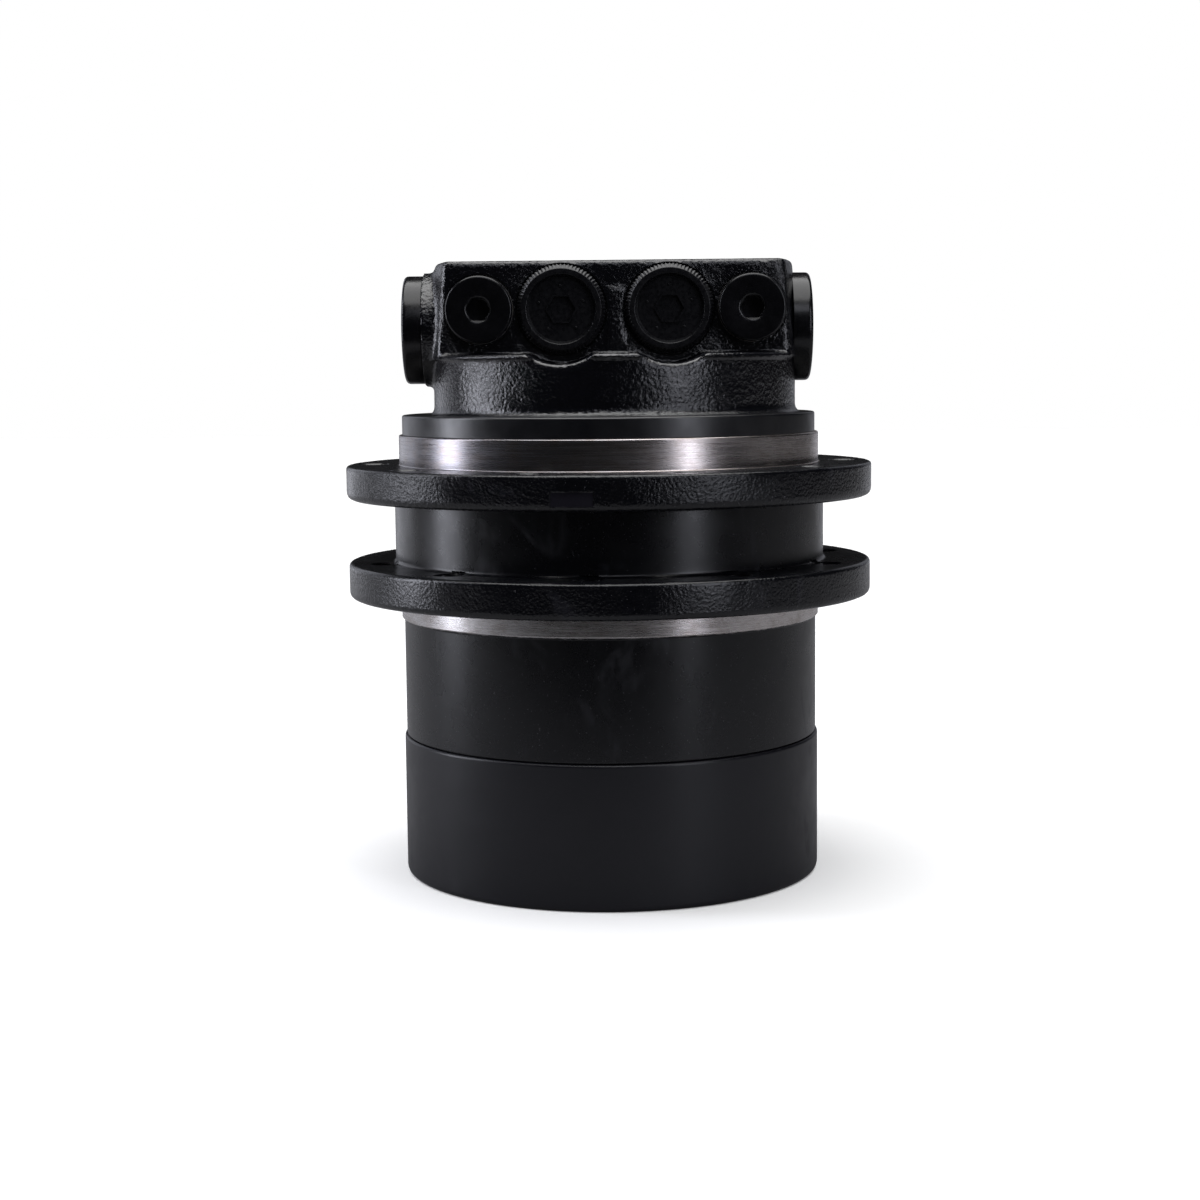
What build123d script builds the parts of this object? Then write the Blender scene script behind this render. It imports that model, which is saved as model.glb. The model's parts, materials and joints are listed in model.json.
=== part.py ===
"""Hydraulic travel motor: swash-plate piston motor, brake, two planetary stages and rotating hub.

Row frame: millimetres, +Z up along the drive axis, origin at the centre of the end cover's face.
The motor stands on its end cover; the hydraulic ports face -Y, the counterbalance valve lies along X.
"""
from build123d import *
from math import acos, cos, pi, radians, sin, sqrt, tan
import os

# ---- heights of the outside, from the end cover's face up -------------------------------------
Z_SEAM = 55.0              # end cover meets hub
Z_SPROCKET_PILOT = 101.5   # machined sprocket spigot starts
Z_SPROCKET_SEAT = 109.7    # lower face of the sprocket flange
Z_SPROCKET_TOP = 123.3     # upper face of the sprocket flange
Z_HUB_TOP = 147.4          # rim of the hub under the frame flange
Z_FRAME_LOW = 148.0        # lower face of the frame flange
Z_FRAME_SEAT = 161.1       # upper face of the frame flange
Z_CASING = 172.8           # joint face between spindle and valve casing
Z_RING_TOP = 180.5         # top of the casing's foot ring
Z_LEDGE = 203.5            # ledge in front of the port face
Z_TOP = 239.0              # top of the valve casing

# ---- radii of the outside ---------------------------------------------------------------------
R_COVER = 82.3
R_BARREL = 81.5
R_PILOT = 82.5             # both machined pilots, 165 mm diameter
R_SPROCKET_FLANGE = 102.8
R_HUB = 84.5
R_FRAME_FLANGE = 103.2
R_FOOT_RING = 81.1
R_NECK = 71.0
R_BLOCK_LOW = 72.4         # the port block tapers upwards with casting draft
R_BLOCK_HIGH = 69.8

# ---- bolt circles -----------------------------------------------------------------------------
BOLT_COUNT = 10
SPROCKET_PCD = 180.0
SPROCKET_HOLE_R = 5.1
SPROCKET_FIRST_DEG = -23.0
FRAME_PCD = 186.0
FRAME_HOLE_R = 5.5
FRAME_FIRST_DEG = -72.0

# ---- valve casing -----------------------------------------------------------------------------
CASING_SHIFT = 2.6         # the block's centre stands this far along +X from the drive axis
CAST_EDGE = 1.6            # bevel along the block's upper edges
PORT_FACE_Y = -27.0        # flat face that carries the ports
PORT_MIDDLE_X = 3.2
PORT_Z = 220.4
PORT_SPACING = 41.2        # between the two main ports
DRAIN_SPACING = 103.6      # between the two small plugs
PORT_POCKET_R = 20.8
PORT_BORE_R = 9.6
DRAIN_SPOT_R = 13.8
DRAIN_BORE_R = 6.6
DRAIN_DRILL_X = 45.0       # vertical leakage drillings
DRAIN_DRILL_Y = -18.0
SPOOL_Z = 213.5
SPOOL_R = 8.0
SPOOL_HALF = 38.0
SPOOL_TRAVEL = 5.0
CAP_R = 21.0
CAP_FACE_X = 79.2
CAP_SEAT_X = 71.5
CAP_THREAD_R = 8.7         # the whole valve bore stays above the joint at the ledge
CAP_BORE_R = 7.0
CAP_INNER_X = 57.0
CAP_SPRING_SEAT = 3.5      # depth of the spring's seat below the cap's seat
SPRING_CHAMBER_R = 8.6
PASSAGE_R = 4.0            # oil passages between the valve and the valve plate
LEAKAGE_R = 2.5
O_RING_CORD = 0.74
SCREW_CIRCLE_R = 59.0
SCREW_R = 4.0
SCREW_HEAD_R = 6.5
SCREW_HEAD_H = 8.0
BACK_SCREW_DEGS = (26, 58, 90, 122, 154)
FRONT_SCREW_DEGS = (-40, -90, -140)
BACK_SCREW_SEAT = 227.0
FRONT_SCREW_SEAT = 188.0
SCREW_END_Z = 154.0

# ---- spindle and main bearings ----------------------------------------------------------------
Z_SPINDLE = 90.0
R_SEAT = 55.0              # bearing seats on the spindle
R_HOUSING = 70.0           # bearing bores in the hub
MAIN_BEARINGS_Z = (98.0, 120.0)
MAIN_BEARING_W = 16.0
MAIN_BALL_R = 4.4
MAIN_BALL_CIRCLE = 62.5
MAIN_BALLS = 28
SEAL_BORE_R = 74.0
ROLL_GAP = 0.10            # clearance round rolling parts

# ---- rotating group of the motor --------------------------------------------------------------
SHAFT_BEARINGS_Z = (101.0, 175.0)
SHAFT_BEARING_W = 12.0
SHAFT_BEARING_R = (10.0, 21.0)
SHAFT_BALL_R = 3.2
SHAFT_BALL_CIRCLE = 15.5
SHAFT_BALLS = 9
CHAMBER_FLOOR = 118.0
CHAMBER_R = 44.0
SWASH_DEG = 10.0
SWASH_Z = 128.0            # where the sliding face crosses the drive axis
SWASH_R = 42.0
PISTONS = 9
PISTON_CIRCLE = 27.0
PISTON_R = 6.5
PISTON_LENGTH = 24.0
BALL_HEIGHT = 7.5          # ball centres above the sliding face
BLOCK_R = 38.0
BLOCK_Z = (144.0, 168.0)
SPLINE_TEETH = 16

# ---- parking brake ----------------------------------------------------------------------------
BRAKE_PLATE_BORE = 46.0
BRAKE_CHAMBER_R = 49.5
BRAKE_CHAMBER_Z = 157.0
BRAKE_PISTON_TOP = 170.5
BRAKE_SPRINGS = 8
BRAKE_SPRING_CIRCLE = 44.4
BRAKE_POCKET_R = 3.2
BRAKE_POCKET_FLOOR = 161.0

# ---- gears ------------------------------------------------------------------------------------
MODULE = 2.0
RING_TEETH = 72
FIRST_SUN_TEETH = 12
FIRST_PLANET_TEETH = 30
SECOND_SUN_TEETH = 18
SECOND_PLANET_TEETH = 27
PLANETS = 3
FIRST_CIRCLE = MODULE * (FIRST_SUN_TEETH + FIRST_PLANET_TEETH) / 2
SECOND_CIRCLE = MODULE * (SECOND_SUN_TEETH + SECOND_PLANET_TEETH) / 2
FIRST_GEARS_Z = (17.0, 37.0)
SECOND_GEARS_Z = (56.0, 80.0)
FIRST_PIN_R = 8.0
SECOND_PIN_R = 11.0
PIN_GAP = 0.05
ADDENDUM = 0.9 * MODULE
DEDENDUM = 1.25 * MODULE
FLANK_GAP = 0.16           # taken off each tooth flank
PRESSURE = radians(20)
FIRST_PLANET_DEG = 90.0
SECOND_PLANET_DEG = 30.0

UP = (Align.CENTER, Align.CENTER, Align.MIN)
PORT_XS = (PORT_MIDDLE_X - PORT_SPACING / 2, PORT_MIDDLE_X + PORT_SPACING / 2)
DRAIN_XS = (PORT_MIDDLE_X - DRAIN_SPACING / 2, PORT_MIDDLE_X + DRAIN_SPACING / 2)


# ---- small helpers ----------------------------------------------------------------------------
def disc(radius, z_low, z_high):
    """Solid cylinder on the drive axis."""
    return Pos(0, 0, z_low) * Cylinder(radius, z_high - z_low, align=UP)


def tube(outer, inner, z_low, z_high):
    """Plain ring on the drive axis."""
    return disc(outer, z_low, z_high) - disc(inner, z_low - 1, z_high + 1)


def turned(*points):
    """Solid turned about the drive axis from (radius, height) corners."""
    profile = Plane.XZ * make_face(Polyline(*points, close=True))
    return revolve(profile, Axis.Z)


def polar(radius, degrees):
    """Point on a circle about the drive axis."""
    return radius * cos(radians(degrees)), radius * sin(radians(degrees))


def around(part, count, radius, first_deg=0.0):
    """Copies of a part on a circle about the drive axis, not turned."""
    spots = [polar(radius, first_deg + 360 / count * i) for i in range(count)]
    return [Pos(x, y, 0) * part for x, y in spots]


def along_y(part):
    """Turns a part built along +Z so that its +Z end points to -Y."""
    return Rot(90, 0, 0) * part


def along_x(part, side):
    """Turns a part built along +Z so that its +Z end points to +X or -X."""
    return Rot(0, 90 * side, 0) * part


def group(solids):
    """Several separate solids that share one node."""
    return Compound(children=list(solids))


def o_ring(circle_radius, cord_radius, z):
    """Round-section rubber ring on the drive axis."""
    return Pos(0, 0, z) * Torus(circle_radius, cord_radius)


def coil_spring(circle_radius, wire_radius, length, turns):
    """Compression spring standing on z = 0."""
    rise = length - 2 * wire_radius
    line = Pos(0, 0, wire_radius) * Helix(rise / turns, rise, circle_radius)
    section = Plane(line @ 0, z_dir=line % 0) * Circle(wire_radius)
    return sweep(section, line)


def hex_socket(across_flats, depth):
    """Hexagonal cutter that reaches down from z = 0."""
    return Pos(0, 0, -depth) * extrude(RegularPolygon(across_flats / sqrt(3), 6), depth + 1)


# ---- gear teeth -------------------------------------------------------------------------------
def involute(angle):
    return tan(angle) - angle


def half_tooth(teeth, radius, gap):
    """Half the angle of a tooth at a radius, thinned by the flank gap."""
    pitch_r = MODULE * teeth / 2
    base_r = pitch_r * cos(PRESSURE)
    roll = acos(min(1.0, base_r / radius))
    return pi / (2 * teeth) + involute(PRESSURE) - involute(roll) - gap / pitch_r


def gear_outline(teeth, r_root, r_tip, gap, first_deg):
    """Face of a toothed wheel; each flank is one arc through three involute points."""
    r_mid = (r_root + r_tip) / 2
    edges = []
    for i in range(teeth):
        middle = radians(first_deg) + 2 * pi * i / teeth
        left = []
        right = []
        for r in (r_root, r_mid, r_tip):
            half = half_tooth(teeth, r, gap)
            left.append((r * cos(middle - half), r * sin(middle - half)))
            right.append((r * cos(middle + half), r * sin(middle + half)))
        next_angle = middle + 2 * pi / teeth - half_tooth(teeth, r_root, gap)
        next_root = (r_root * cos(next_angle), r_root * sin(next_angle))
        edges.append(ThreePointArc(*left))
        edges.append(Line(left[2], right[2]))
        edges.append(ThreePointArc(*reversed(right)))
        edges.append(Line(right[0], next_root))
    return make_face(edges)


def gear(teeth, z_low, z_high, first_deg):
    """External gear on the drive axis."""
    pitch_r = MODULE * teeth / 2
    outline = gear_outline(teeth, pitch_r - DEDENDUM, pitch_r + ADDENDUM, FLANK_GAP, first_deg)
    return Pos(0, 0, z_low) * extrude(outline, z_high - z_low)


def ring_teeth_cutter(z_low, z_high):
    """Solid that leaves internal ring-gear teeth when it is cut out."""
    pitch_r = MODULE * RING_TEETH / 2
    outline = gear_outline(RING_TEETH, pitch_r - ADDENDUM, pitch_r + DEDENDUM, -FLANK_GAP, 0)
    return Pos(0, 0, z_low) * extrude(outline, z_high - z_low)


def planet_phase(teeth, place_deg):
    """Turn of a planet, in degrees, that puts its teeth in the gaps of the ring gear.

    The ring cutter has a tooth gap of the ring at angle 0, so a planet tooth goes there.
    """
    ring_steps = place_deg * RING_TEETH / 360
    return place_deg - ring_steps * 360 / teeth


def sun_phase(sun_teeth, planet_teeth, place_deg):
    """Turn of a sun gear that puts its gaps on the teeth of the planet at place_deg."""
    planet_steps = (place_deg + 180 - planet_phase(planet_teeth, place_deg)) * planet_teeth / 360
    return place_deg - (0.5 - planet_steps) * 360 / sun_teeth


def spline_shape(r_root, r_tip, z_low, z_high):
    """Straight-sided spline on the drive axis."""
    rib = Box(2 * r_tip, 0.55 * 2 * pi * r_root / SPLINE_TEETH, z_high - z_low, align=UP)
    ribs = [Rot(0, 0, 180 / SPLINE_TEETH * 2 * i) * rib for i in range(SPLINE_TEETH // 2)]
    shape = disc(r_root, z_low, z_high) + [Pos(0, 0, z_low) * r for r in ribs]
    return shape & disc(r_tip, z_low, z_high)


# ---- valve casing -----------------------------------------------------------------------------
def casing_screw_spots():
    """(x, y, seat height) of each casing screw."""
    back = [(*polar(SCREW_CIRCLE_R, a), BACK_SCREW_SEAT) for a in BACK_SCREW_DEGS]
    front = [(*polar(SCREW_CIRCLE_R, a), FRONT_SCREW_SEAT) for a in FRONT_SCREW_DEGS]
    return back + front


def casing_blank():
    """Casting before machining: foot ring, neck and tapered port block with its flat face."""
    body = turned((0, Z_CASING), (R_NECK, Z_CASING), (R_NECK, Z_LEDGE - 3.0),
                  (R_BLOCK_LOW, Z_LEDGE - 0.6), (R_BLOCK_HIGH, Z_TOP), (0, Z_TOP))
    body = Pos(CASING_SHIFT, 0, 0) * body
    front = Pos(0, PORT_FACE_Y, Z_LEDGE) * Box(300, 100, 60, align=(Align.CENTER, Align.MAX, Align.MIN))
    body -= front
    rim = body.edges().filter_by(lambda e: e.center().Z > Z_TOP - 0.1)
    sides = body.edges().filter_by(lambda e: abs(e.center().Y - PORT_FACE_Y) < 1.0
                                   and Z_LEDGE + 5 < e.center().Z < Z_TOP - 5
                                   and e.length > 20)
    body = chamfer(rim + sides, CAST_EDGE)
    foot = disc(R_FOOT_RING, Z_CASING, Z_RING_TOP)
    foot = chamfer(foot.edges().group_by(Axis.Z)[-1], 0.6)
    left_boss = Pos(-CAP_SEAT_X, 0, SPOOL_Z) * along_x(Cylinder(CAP_R + 1.2, 30, align=UP), 1)
    return body + foot + left_boss


def machined_casing():
    """The whole casting with its ports, valve bore, bearing bore and screw holes."""
    body = casing_blank()
    for x in PORT_XS:
        body -= Pos(x, PORT_FACE_Y, PORT_Z) * along_y(Cylinder(PORT_POCKET_R, 60, align=UP))
        body -= Pos(x, PORT_FACE_Y + 1.2, PORT_Z) * along_y(Cylinder(17.6, 20, align=UP))
        body -= Pos(x, -6, PORT_Z) * along_y(Cylinder(PORT_BORE_R, 60, align=UP))
    body += Pos(PORT_MIDDLE_X, PORT_FACE_Y, PORT_Z - 2.5) * Box(5.5, 3.0, 20)
    for x in DRAIN_XS:
        body -= Pos(x, PORT_FACE_Y + 0.8, PORT_Z) * along_y(Cylinder(DRAIN_SPOT_R, 20, align=UP))
        body -= Pos(x, -15, PORT_Z) * along_y(Cylinder(DRAIN_BORE_R, 60, align=UP))
    for side in (-1, 1):
        outward = along_x(Cylinder(CAP_R + 0.8, 30, align=UP), side)
        body -= Pos(side * CAP_SEAT_X, 0, SPOOL_Z) * outward
        thread = along_x(Cylinder(CAP_THREAD_R + 0.05, 30, align=UP), side)
        body -= Pos(side * (CAP_INNER_X - 1), 0, SPOOL_Z) * thread
        groove = along_x(Cylinder(CAP_THREAD_R + 1.15, 2, align=UP), side)
        body -= Pos(side * (CAP_SEAT_X - 1.1), 0, SPOOL_Z) * groove
        chamber = along_x(Cylinder(SPRING_CHAMBER_R, 40, align=UP), side)
        body -= Pos(PORT_MIDDLE_X + side * (SPOOL_HALF - 6), 0, SPOOL_Z) * chamber
        leakage = Cylinder(LEAKAGE_R, 50, align=UP)
        body -= Pos(side * DRAIN_DRILL_X, DRAIN_DRILL_Y, Z_CASING - 1) * leakage
        body -= Pos(side * PISTON_CIRCLE, 0, Z_CASING - 1) * Cylinder(PASSAGE_R, 36, align=UP)
    body -= Pos(DRAIN_DRILL_X, DRAIN_DRILL_Y, PORT_Z) * along_x(Cylinder(LEAKAGE_R, 10, align=UP), 1)
    body -= Pos(0, 0, SPOOL_Z) * Rot(0, 90, 0) * Cylinder(SPOOL_R + 0.05, 100)
    body -= disc(SHAFT_BEARING_R[1] + 0.02, Z_CASING - 1, SHAFT_BEARINGS_Z[1] + SHAFT_BEARING_W)
    body -= disc(14.0, Z_CASING, 190.0)
    for x, y, seat in casing_screw_spots():
        body -= Pos(x, y, Z_CASING - 1) * Cylinder(SCREW_R + 0.3, 100, align=UP)
        body -= Pos(x, y, seat) * Cylinder(SCREW_HEAD_R + 0.5, 60, align=UP)
    return body


def joint_seal_spots():
    """(x, y, O-ring circle radius) of each passage that crosses the joint at the ledge."""
    passages = [(side * PISTON_CIRCLE, 0, PASSAGE_R + 2.0) for side in (-1, 1)]
    leakage = [(side * DRAIN_DRILL_X, DRAIN_DRILL_Y, LEAKAGE_R + 2.0) for side in (-1, 1)]
    return passages + leakage


def casing_parts():
    """The casting as foot with neck, and port block; they meet at the height of the ledge."""
    body = machined_casing()
    below_ledge = disc(200, Z_CASING - 10, Z_LEDGE)
    foot_and_neck = body & below_ledge
    for x, y, circle in joint_seal_spots():
        groove = tube(circle + 1.1, circle - 1.1, Z_LEDGE - 1.5, Z_LEDGE + 1)
        foot_and_neck -= Pos(x, y, 0) * groove
    return foot_and_neck, body - below_ledge


def casing_screws():
    """Socket-head screws that hold the casing on the spindle."""
    screws = []
    for x, y, seat in casing_screw_spots():
        head = Cylinder(SCREW_HEAD_R, SCREW_HEAD_H, align=UP)
        head = fillet(head.edges().group_by(Axis.Z)[-1], 0.8)
        head -= Pos(0, 0, SCREW_HEAD_H) * hex_socket(6.0, 4.0)
        shank = Pos(0, 0, SCREW_END_Z - seat) * Cylinder(SCREW_R, seat - SCREW_END_Z, align=UP)
        screws.append(Pos(x, y, seat) * (head + shank))
    return group(screws)


def casing_seals():
    """O-rings at the foot, at the joint in the casing and under the two valve caps."""
    rings = [o_ring(52.5, 1.2, Z_CASING - 1.2)]
    for x, y, circle in joint_seal_spots():
        rings.append(Pos(x, y, 0) * o_ring(circle, O_RING_CORD, Z_LEDGE - 0.75))
    for side in (-1, 1):
        ring = Torus(CAP_THREAD_R + 0.55, 0.5)
        rings.append(Pos(side * (CAP_SEAT_X - 0.5), 0, SPOOL_Z) * along_x(ring, side))
    return group(rings)


def port_plug(x):
    """Plastic transport plug: serrated flange, recessed cup, hexagon and a short thread."""
    teeth = 72
    corners = [polar(17.0 - 0.45 * (i % 2), 180 / teeth * i) for i in range(2 * teeth)]
    star = extrude(make_face(Polyline(*corners, close=True)), 5.0)
    flange = star & turned((0, 0), (17.0, 0), (17.0, 3.0), (15.2, 5.0), (0, 5.0))
    flange -= tube(13.6, 12.0, 2.4, 6.0)
    flange -= disc(11.7, 3.4, 6.0)
    flange += tube(7.6, 6.6, 3.0, 4.1)
    flange -= Pos(0, 0, 5.0) * hex_socket(10.0, 7.5)
    thread = turned((0, -11), (8.6, -11), (9.5, -10), (9.5, 0.5), (0, 0.5))
    plug = flange + thread - Pos(0, 0, 5.0) * hex_socket(10.0, 9.0)
    return Pos(x, PORT_FACE_Y + 1.2, PORT_Z) * along_y(plug)


def drain_plug(x):
    """Steel screw plug with a hexagon socket."""
    head = Cylinder(12.75, 5.4, align=UP)
    head = fillet(head.edges().group_by(Axis.Z)[-1], 1.0)
    thread = turned((0, -11), (5.6, -11), (6.5, -10), (6.5, 0.5), (0, 0.5))
    plug = head + thread - Pos(0, 0, 5.4) * hex_socket(8.0, 6.0)
    plug -= Pos(0, 0, 5.4) * Cone(3.4, 5.2, 1.0, align=(Align.CENTER, Align.CENTER, Align.MAX))
    return Pos(x, PORT_FACE_Y - 0.6, PORT_Z) * along_y(plug)


def drain_plug_seals():
    """Flat sealing washers under the two steel plugs."""
    washer = Cylinder(12.9, 1.35, align=UP) - Cylinder(6.8, 1.35, align=UP)
    return group([Pos(x, PORT_FACE_Y + 0.77, PORT_Z) * along_y(washer) for x in DRAIN_XS])


def valve_cap(side):
    """Screwed cap at one end of the counterbalance valve."""
    head = Cylinder(CAP_R, CAP_FACE_X - CAP_SEAT_X, align=UP)
    head = fillet(head.edges().group_by(Axis.Z)[-1], 1.8)
    head -= Pos(0, 0, CAP_FACE_X - CAP_SEAT_X) * hex_socket(12.0, 7.0)
    reach = CAP_SEAT_X - CAP_INNER_X
    skirt = turned((CAP_BORE_R, -reach), (CAP_THREAD_R, -reach), (CAP_THREAD_R, 0.5), (0, 0.5),
                   (0, -CAP_SPRING_SEAT), (CAP_BORE_R, -CAP_SPRING_SEAT))
    return Pos(side * CAP_SEAT_X, 0, SPOOL_Z) * along_x(head + skirt, side)


def counterbalance_spool():
    """Sliding spool with its lands, grooves and spring noses."""
    half = SPOOL_HALF
    profile = [(0, -half), (5.0, -half), (5.0, -half + 6), (SPOOL_R, -half + 6), (SPOOL_R, -22),
               (5.5, -20), (5.5, -14), (SPOOL_R, -12), (SPOOL_R, 12), (5.5, 14), (5.5, 20), (SPOOL_R, 22),
               (SPOOL_R, half - 6), (5.0, half - 6), (5.0, half), (0, half)]
    return Pos(PORT_MIDDLE_X, 0, SPOOL_Z) * Rot(0, 90, 0) * turned(*profile)


def spool_spring(side):
    """Spring between a spool shoulder and its cap."""
    start = PORT_MIDDLE_X + side * (SPOOL_HALF - 6 + 0.05)
    end = side * (CAP_SEAT_X - CAP_SPRING_SEAT - 0.25)
    spring = coil_spring(6.0, 0.75, abs(end - start), 6)
    return Pos(start, 0, SPOOL_Z) * along_x(spring, side)


# ---- spindle ----------------------------------------------------------------------------------
def motor_spindle():
    """Fixed body: frame flange, frame pilot, bearing seats and the motor's chamber."""
    edge = 4.5
    outside = turned(
        (0, Z_SPINDLE), (52, Z_SPINDLE), (52, 97.5), (R_SEAT, 98), (R_SEAT, 136), (59, 136),
        (59, Z_FRAME_LOW + 6), (SEAL_BORE_R, Z_FRAME_LOW + 6), (SEAL_BORE_R, Z_FRAME_LOW),
        (R_FRAME_FLANGE - edge, Z_FRAME_LOW), (R_FRAME_FLANGE - 1.6, Z_FRAME_LOW + 1.4),
        (R_FRAME_FLANGE - 0.3, Z_FRAME_LOW + edge), (R_FRAME_FLANGE, Z_FRAME_SEAT - 2.0),
        (R_FRAME_FLANGE - 1.2, Z_FRAME_SEAT), (R_PILOT, Z_FRAME_SEAT),
        (R_PILOT, Z_CASING - 0.8), (R_PILOT - 0.8, Z_CASING), (0, Z_CASING))
    inside = turned(
        (0, Z_SPINDLE - 1), (17, Z_SPINDLE - 1), (17, 98), (13, 98), (13, 101),
        (SHAFT_BEARING_R[1] + 0.02, 101), (SHAFT_BEARING_R[1] + 0.02, CHAMBER_FLOOR),
        (CHAMBER_R, CHAMBER_FLOOR), (CHAMBER_R, BLOCK_Z[0]), (BRAKE_PLATE_BORE, BLOCK_Z[0]),
        (BRAKE_PLATE_BORE, BRAKE_CHAMBER_Z), (BRAKE_CHAMBER_R, BRAKE_CHAMBER_Z),
        (BRAKE_CHAMBER_R, Z_CASING + 1), (0, Z_CASING + 1))
    body = outside - inside
    body -= tube(53.9, 51.1, Z_CASING - 2.4, Z_CASING + 1)
    for hole in around(Cylinder(FRAME_HOLE_R, 40, align=UP), BOLT_COUNT, FRAME_PCD / 2, FRAME_FIRST_DEG):
        body -= Pos(0, 0, Z_FRAME_LOW - 10) * hole
    for x, y, seat in casing_screw_spots():
        body -= Pos(x, y, SCREW_END_Z - 2) * Cylinder(SCREW_R + 0.02, 40, align=UP)
    for x, y in [polar(36, 30 + 60 * i) for i in range(6)]:
        body -= Pos(x, y, Z_SPINDLE - 1) * Cylinder(4.02, 17, align=UP)
    notch = Pos(R_FRAME_FLANGE - 1.2, 0, Z_FRAME_LOW - 1) * Box(10, 16, 8.6, align=(Align.MIN, Align.CENTER,
                                                                                  Align.MIN))
    return body - Rot(0, 0, -97.2) * notch


def bearing_nut():
    """Slotted ring nut that clamps the main bearings on the spindle."""
    nut = tube(62.0, 52.03, 91.0, 97.4)
    for i in range(4):
        nut -= Rot(0, 0, 90 * i) * (Pos(62, 0, 90) * Box(8, 7, 10, align=UP))
    return nut


def ball_bearing(inner_r, outer_r, circle_r, ball_r, width, count, z_low):
    """Inner ring, outer ring and the caged ball set of a deep-groove bearing."""
    middle = z_low + width / 2
    land = ball_r * 0.52
    groove = Pos(0, 0, middle) * Torus(circle_r, ball_r + ROLL_GAP)
    inner = tube(circle_r - land, inner_r, z_low, z_low + width) - groove
    outer = tube(outer_r, circle_r + land, z_low, z_low + width) - groove
    gap = 0.35 * land
    cage = tube(circle_r + land - gap, circle_r - land + gap, middle - ball_r - 1, middle + ball_r + 1)
    pocket = Pos(circle_r, 0, middle) * Rot(0, 90, 0) * Cylinder(ball_r + ROLL_GAP, 4 * land)
    for i in range(count):
        cage -= Rot(0, 0, 360 / count * i) * pocket
    balls = [Pos(0, 0, middle) * ball for ball in around(Sphere(ball_r), count, circle_r)]
    return inner, outer, [cage] + balls


def main_bearings():
    sets = [ball_bearing(R_SEAT, R_HOUSING, MAIN_BALL_CIRCLE, MAIN_BALL_R, MAIN_BEARING_W, MAIN_BALLS, z)
            for z in MAIN_BEARINGS_Z]
    return bearing_nodes(sets)


def shaft_bearings():
    inner_r, outer_r = SHAFT_BEARING_R
    sets = [ball_bearing(inner_r, outer_r, SHAFT_BALL_CIRCLE, SHAFT_BALL_R, SHAFT_BEARING_W, SHAFT_BALLS, z)
            for z in SHAFT_BEARINGS_Z]
    return bearing_nodes(sets)


def bearing_nodes(sets):
    """Groups a pair of bearings into inner rings, outer rings and caged balls."""
    inner = group([s[0] for s in sets])
    outer = group([s[1] for s in sets])
    balls = group([piece for s in sets for piece in s[2]])
    return inner, outer, balls


def floating_seal_ring(z_face, z_back):
    """Hard metal ring of the duo-cone seal; z_face is its running face."""
    step = 0.6 if z_back > z_face else -0.6
    return turned((65.0, z_face), (69.6, z_face), (69.6, z_face + 3 * step), (68.2, z_back),
                  (63.5, z_back), (63.5, z_face + 2 * step))


def floating_seal_case_o_ring():
    return o_ring(71.4, 1.9, Z_FRAME_LOW + 3.9)


def floating_seal_hub_o_ring():
    return o_ring(71.4, 1.9, Z_HUB_TOP - 3.9)


# ---- motor ------------------------------------------------------------------------------------
def sliding_plane():
    """Tilted sliding face; its normal at the origin passes through the centre of the ball plane."""
    tilt = radians(SWASH_DEG)
    normal = (0, -sin(tilt), cos(tilt))
    foot = (0, BALL_HEIGHT * sin(tilt), ball_plane_z() - BALL_HEIGHT * cos(tilt))
    return Plane(origin=foot, x_dir=(1, 0, 0), z_dir=normal)


def swash_plate():
    blank = tube(SWASH_R, 19.0, CHAMBER_FLOOR, SWASH_Z + 12)
    above = sliding_plane().location * Box(200, 200, 40, align=UP)
    return blank - above


def drive_shaft():
    """Shaft from the casing bearing down to the first sun gear."""
    shaft = turned((0, 16), (6.2, 16), (6.2, 40), (8, 41), (8, 99.5), (10, 100), (10, 113.1), (12.5, 113.1),
                   (12.5, 119), (11.4, 120), (11.4, 156), (10.6, 156), (10.6, 168), (9.98, 168.5),
                   (9.98, 188), (9, 189), (0, 189))
    shaft += spline_shape(10.8, 12.0, 156.2, 167.5)
    return shaft + spline_shape(6.3, 7.2, 16.5, 39.5)


def shaft_seal():
    return tube(16.95, 8.3, 91.5, 97.5) - tube(14, 10, 90, 95)


def cylinder_block():
    block = disc(BLOCK_R, *BLOCK_Z)
    block -= spline_shape(10.9, 12.1, BLOCK_Z[0], BLOCK_Z[1])
    block -= disc(18.2, BLOCK_Z[0] - 1, 156.0)
    for bore in around(Cylinder(PISTON_R + 0.05, 20.8, align=UP), PISTONS, PISTON_CIRCLE):
        block -= Pos(0, 0, BLOCK_Z[0] - 0.1) * bore
    for port in around(Cylinder(3.2, 10, align=UP), PISTONS, PISTON_CIRCLE):
        block -= Pos(0, 0, BLOCK_Z[1] - 5) * port
    return chamfer(block.edges().filter_by(GeomType.CIRCLE).group_by(SortBy.RADIUS)[-1], 0.8)


def ball_centre(i):
    """Centre of one piston's ball: on the piston axis, at the slippers' height."""
    x, y = polar(PISTON_CIRCLE, 360 / PISTONS * i)
    return x, y, ball_plane_z() + y * tan(radians(SWASH_DEG))


def ball_plane_z():
    return SWASH_Z + BALL_HEIGHT / cos(radians(SWASH_DEG))


def pistons():
    parts = []
    for i in range(PISTONS):
        x, y, z = ball_centre(i)
        skirt = Pos(0, 0, 7.0) * Cylinder(PISTON_R, PISTON_LENGTH - 7.0, align=UP)
        skirt = chamfer(skirt.edges().filter_by(GeomType.CIRCLE), 0.5)
        neck = Cylinder(2.6, 8.0, align=UP)
        parts.append(Pos(x, y, z) * (Sphere(4.0) + neck + skirt))
    return group(parts)


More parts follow.
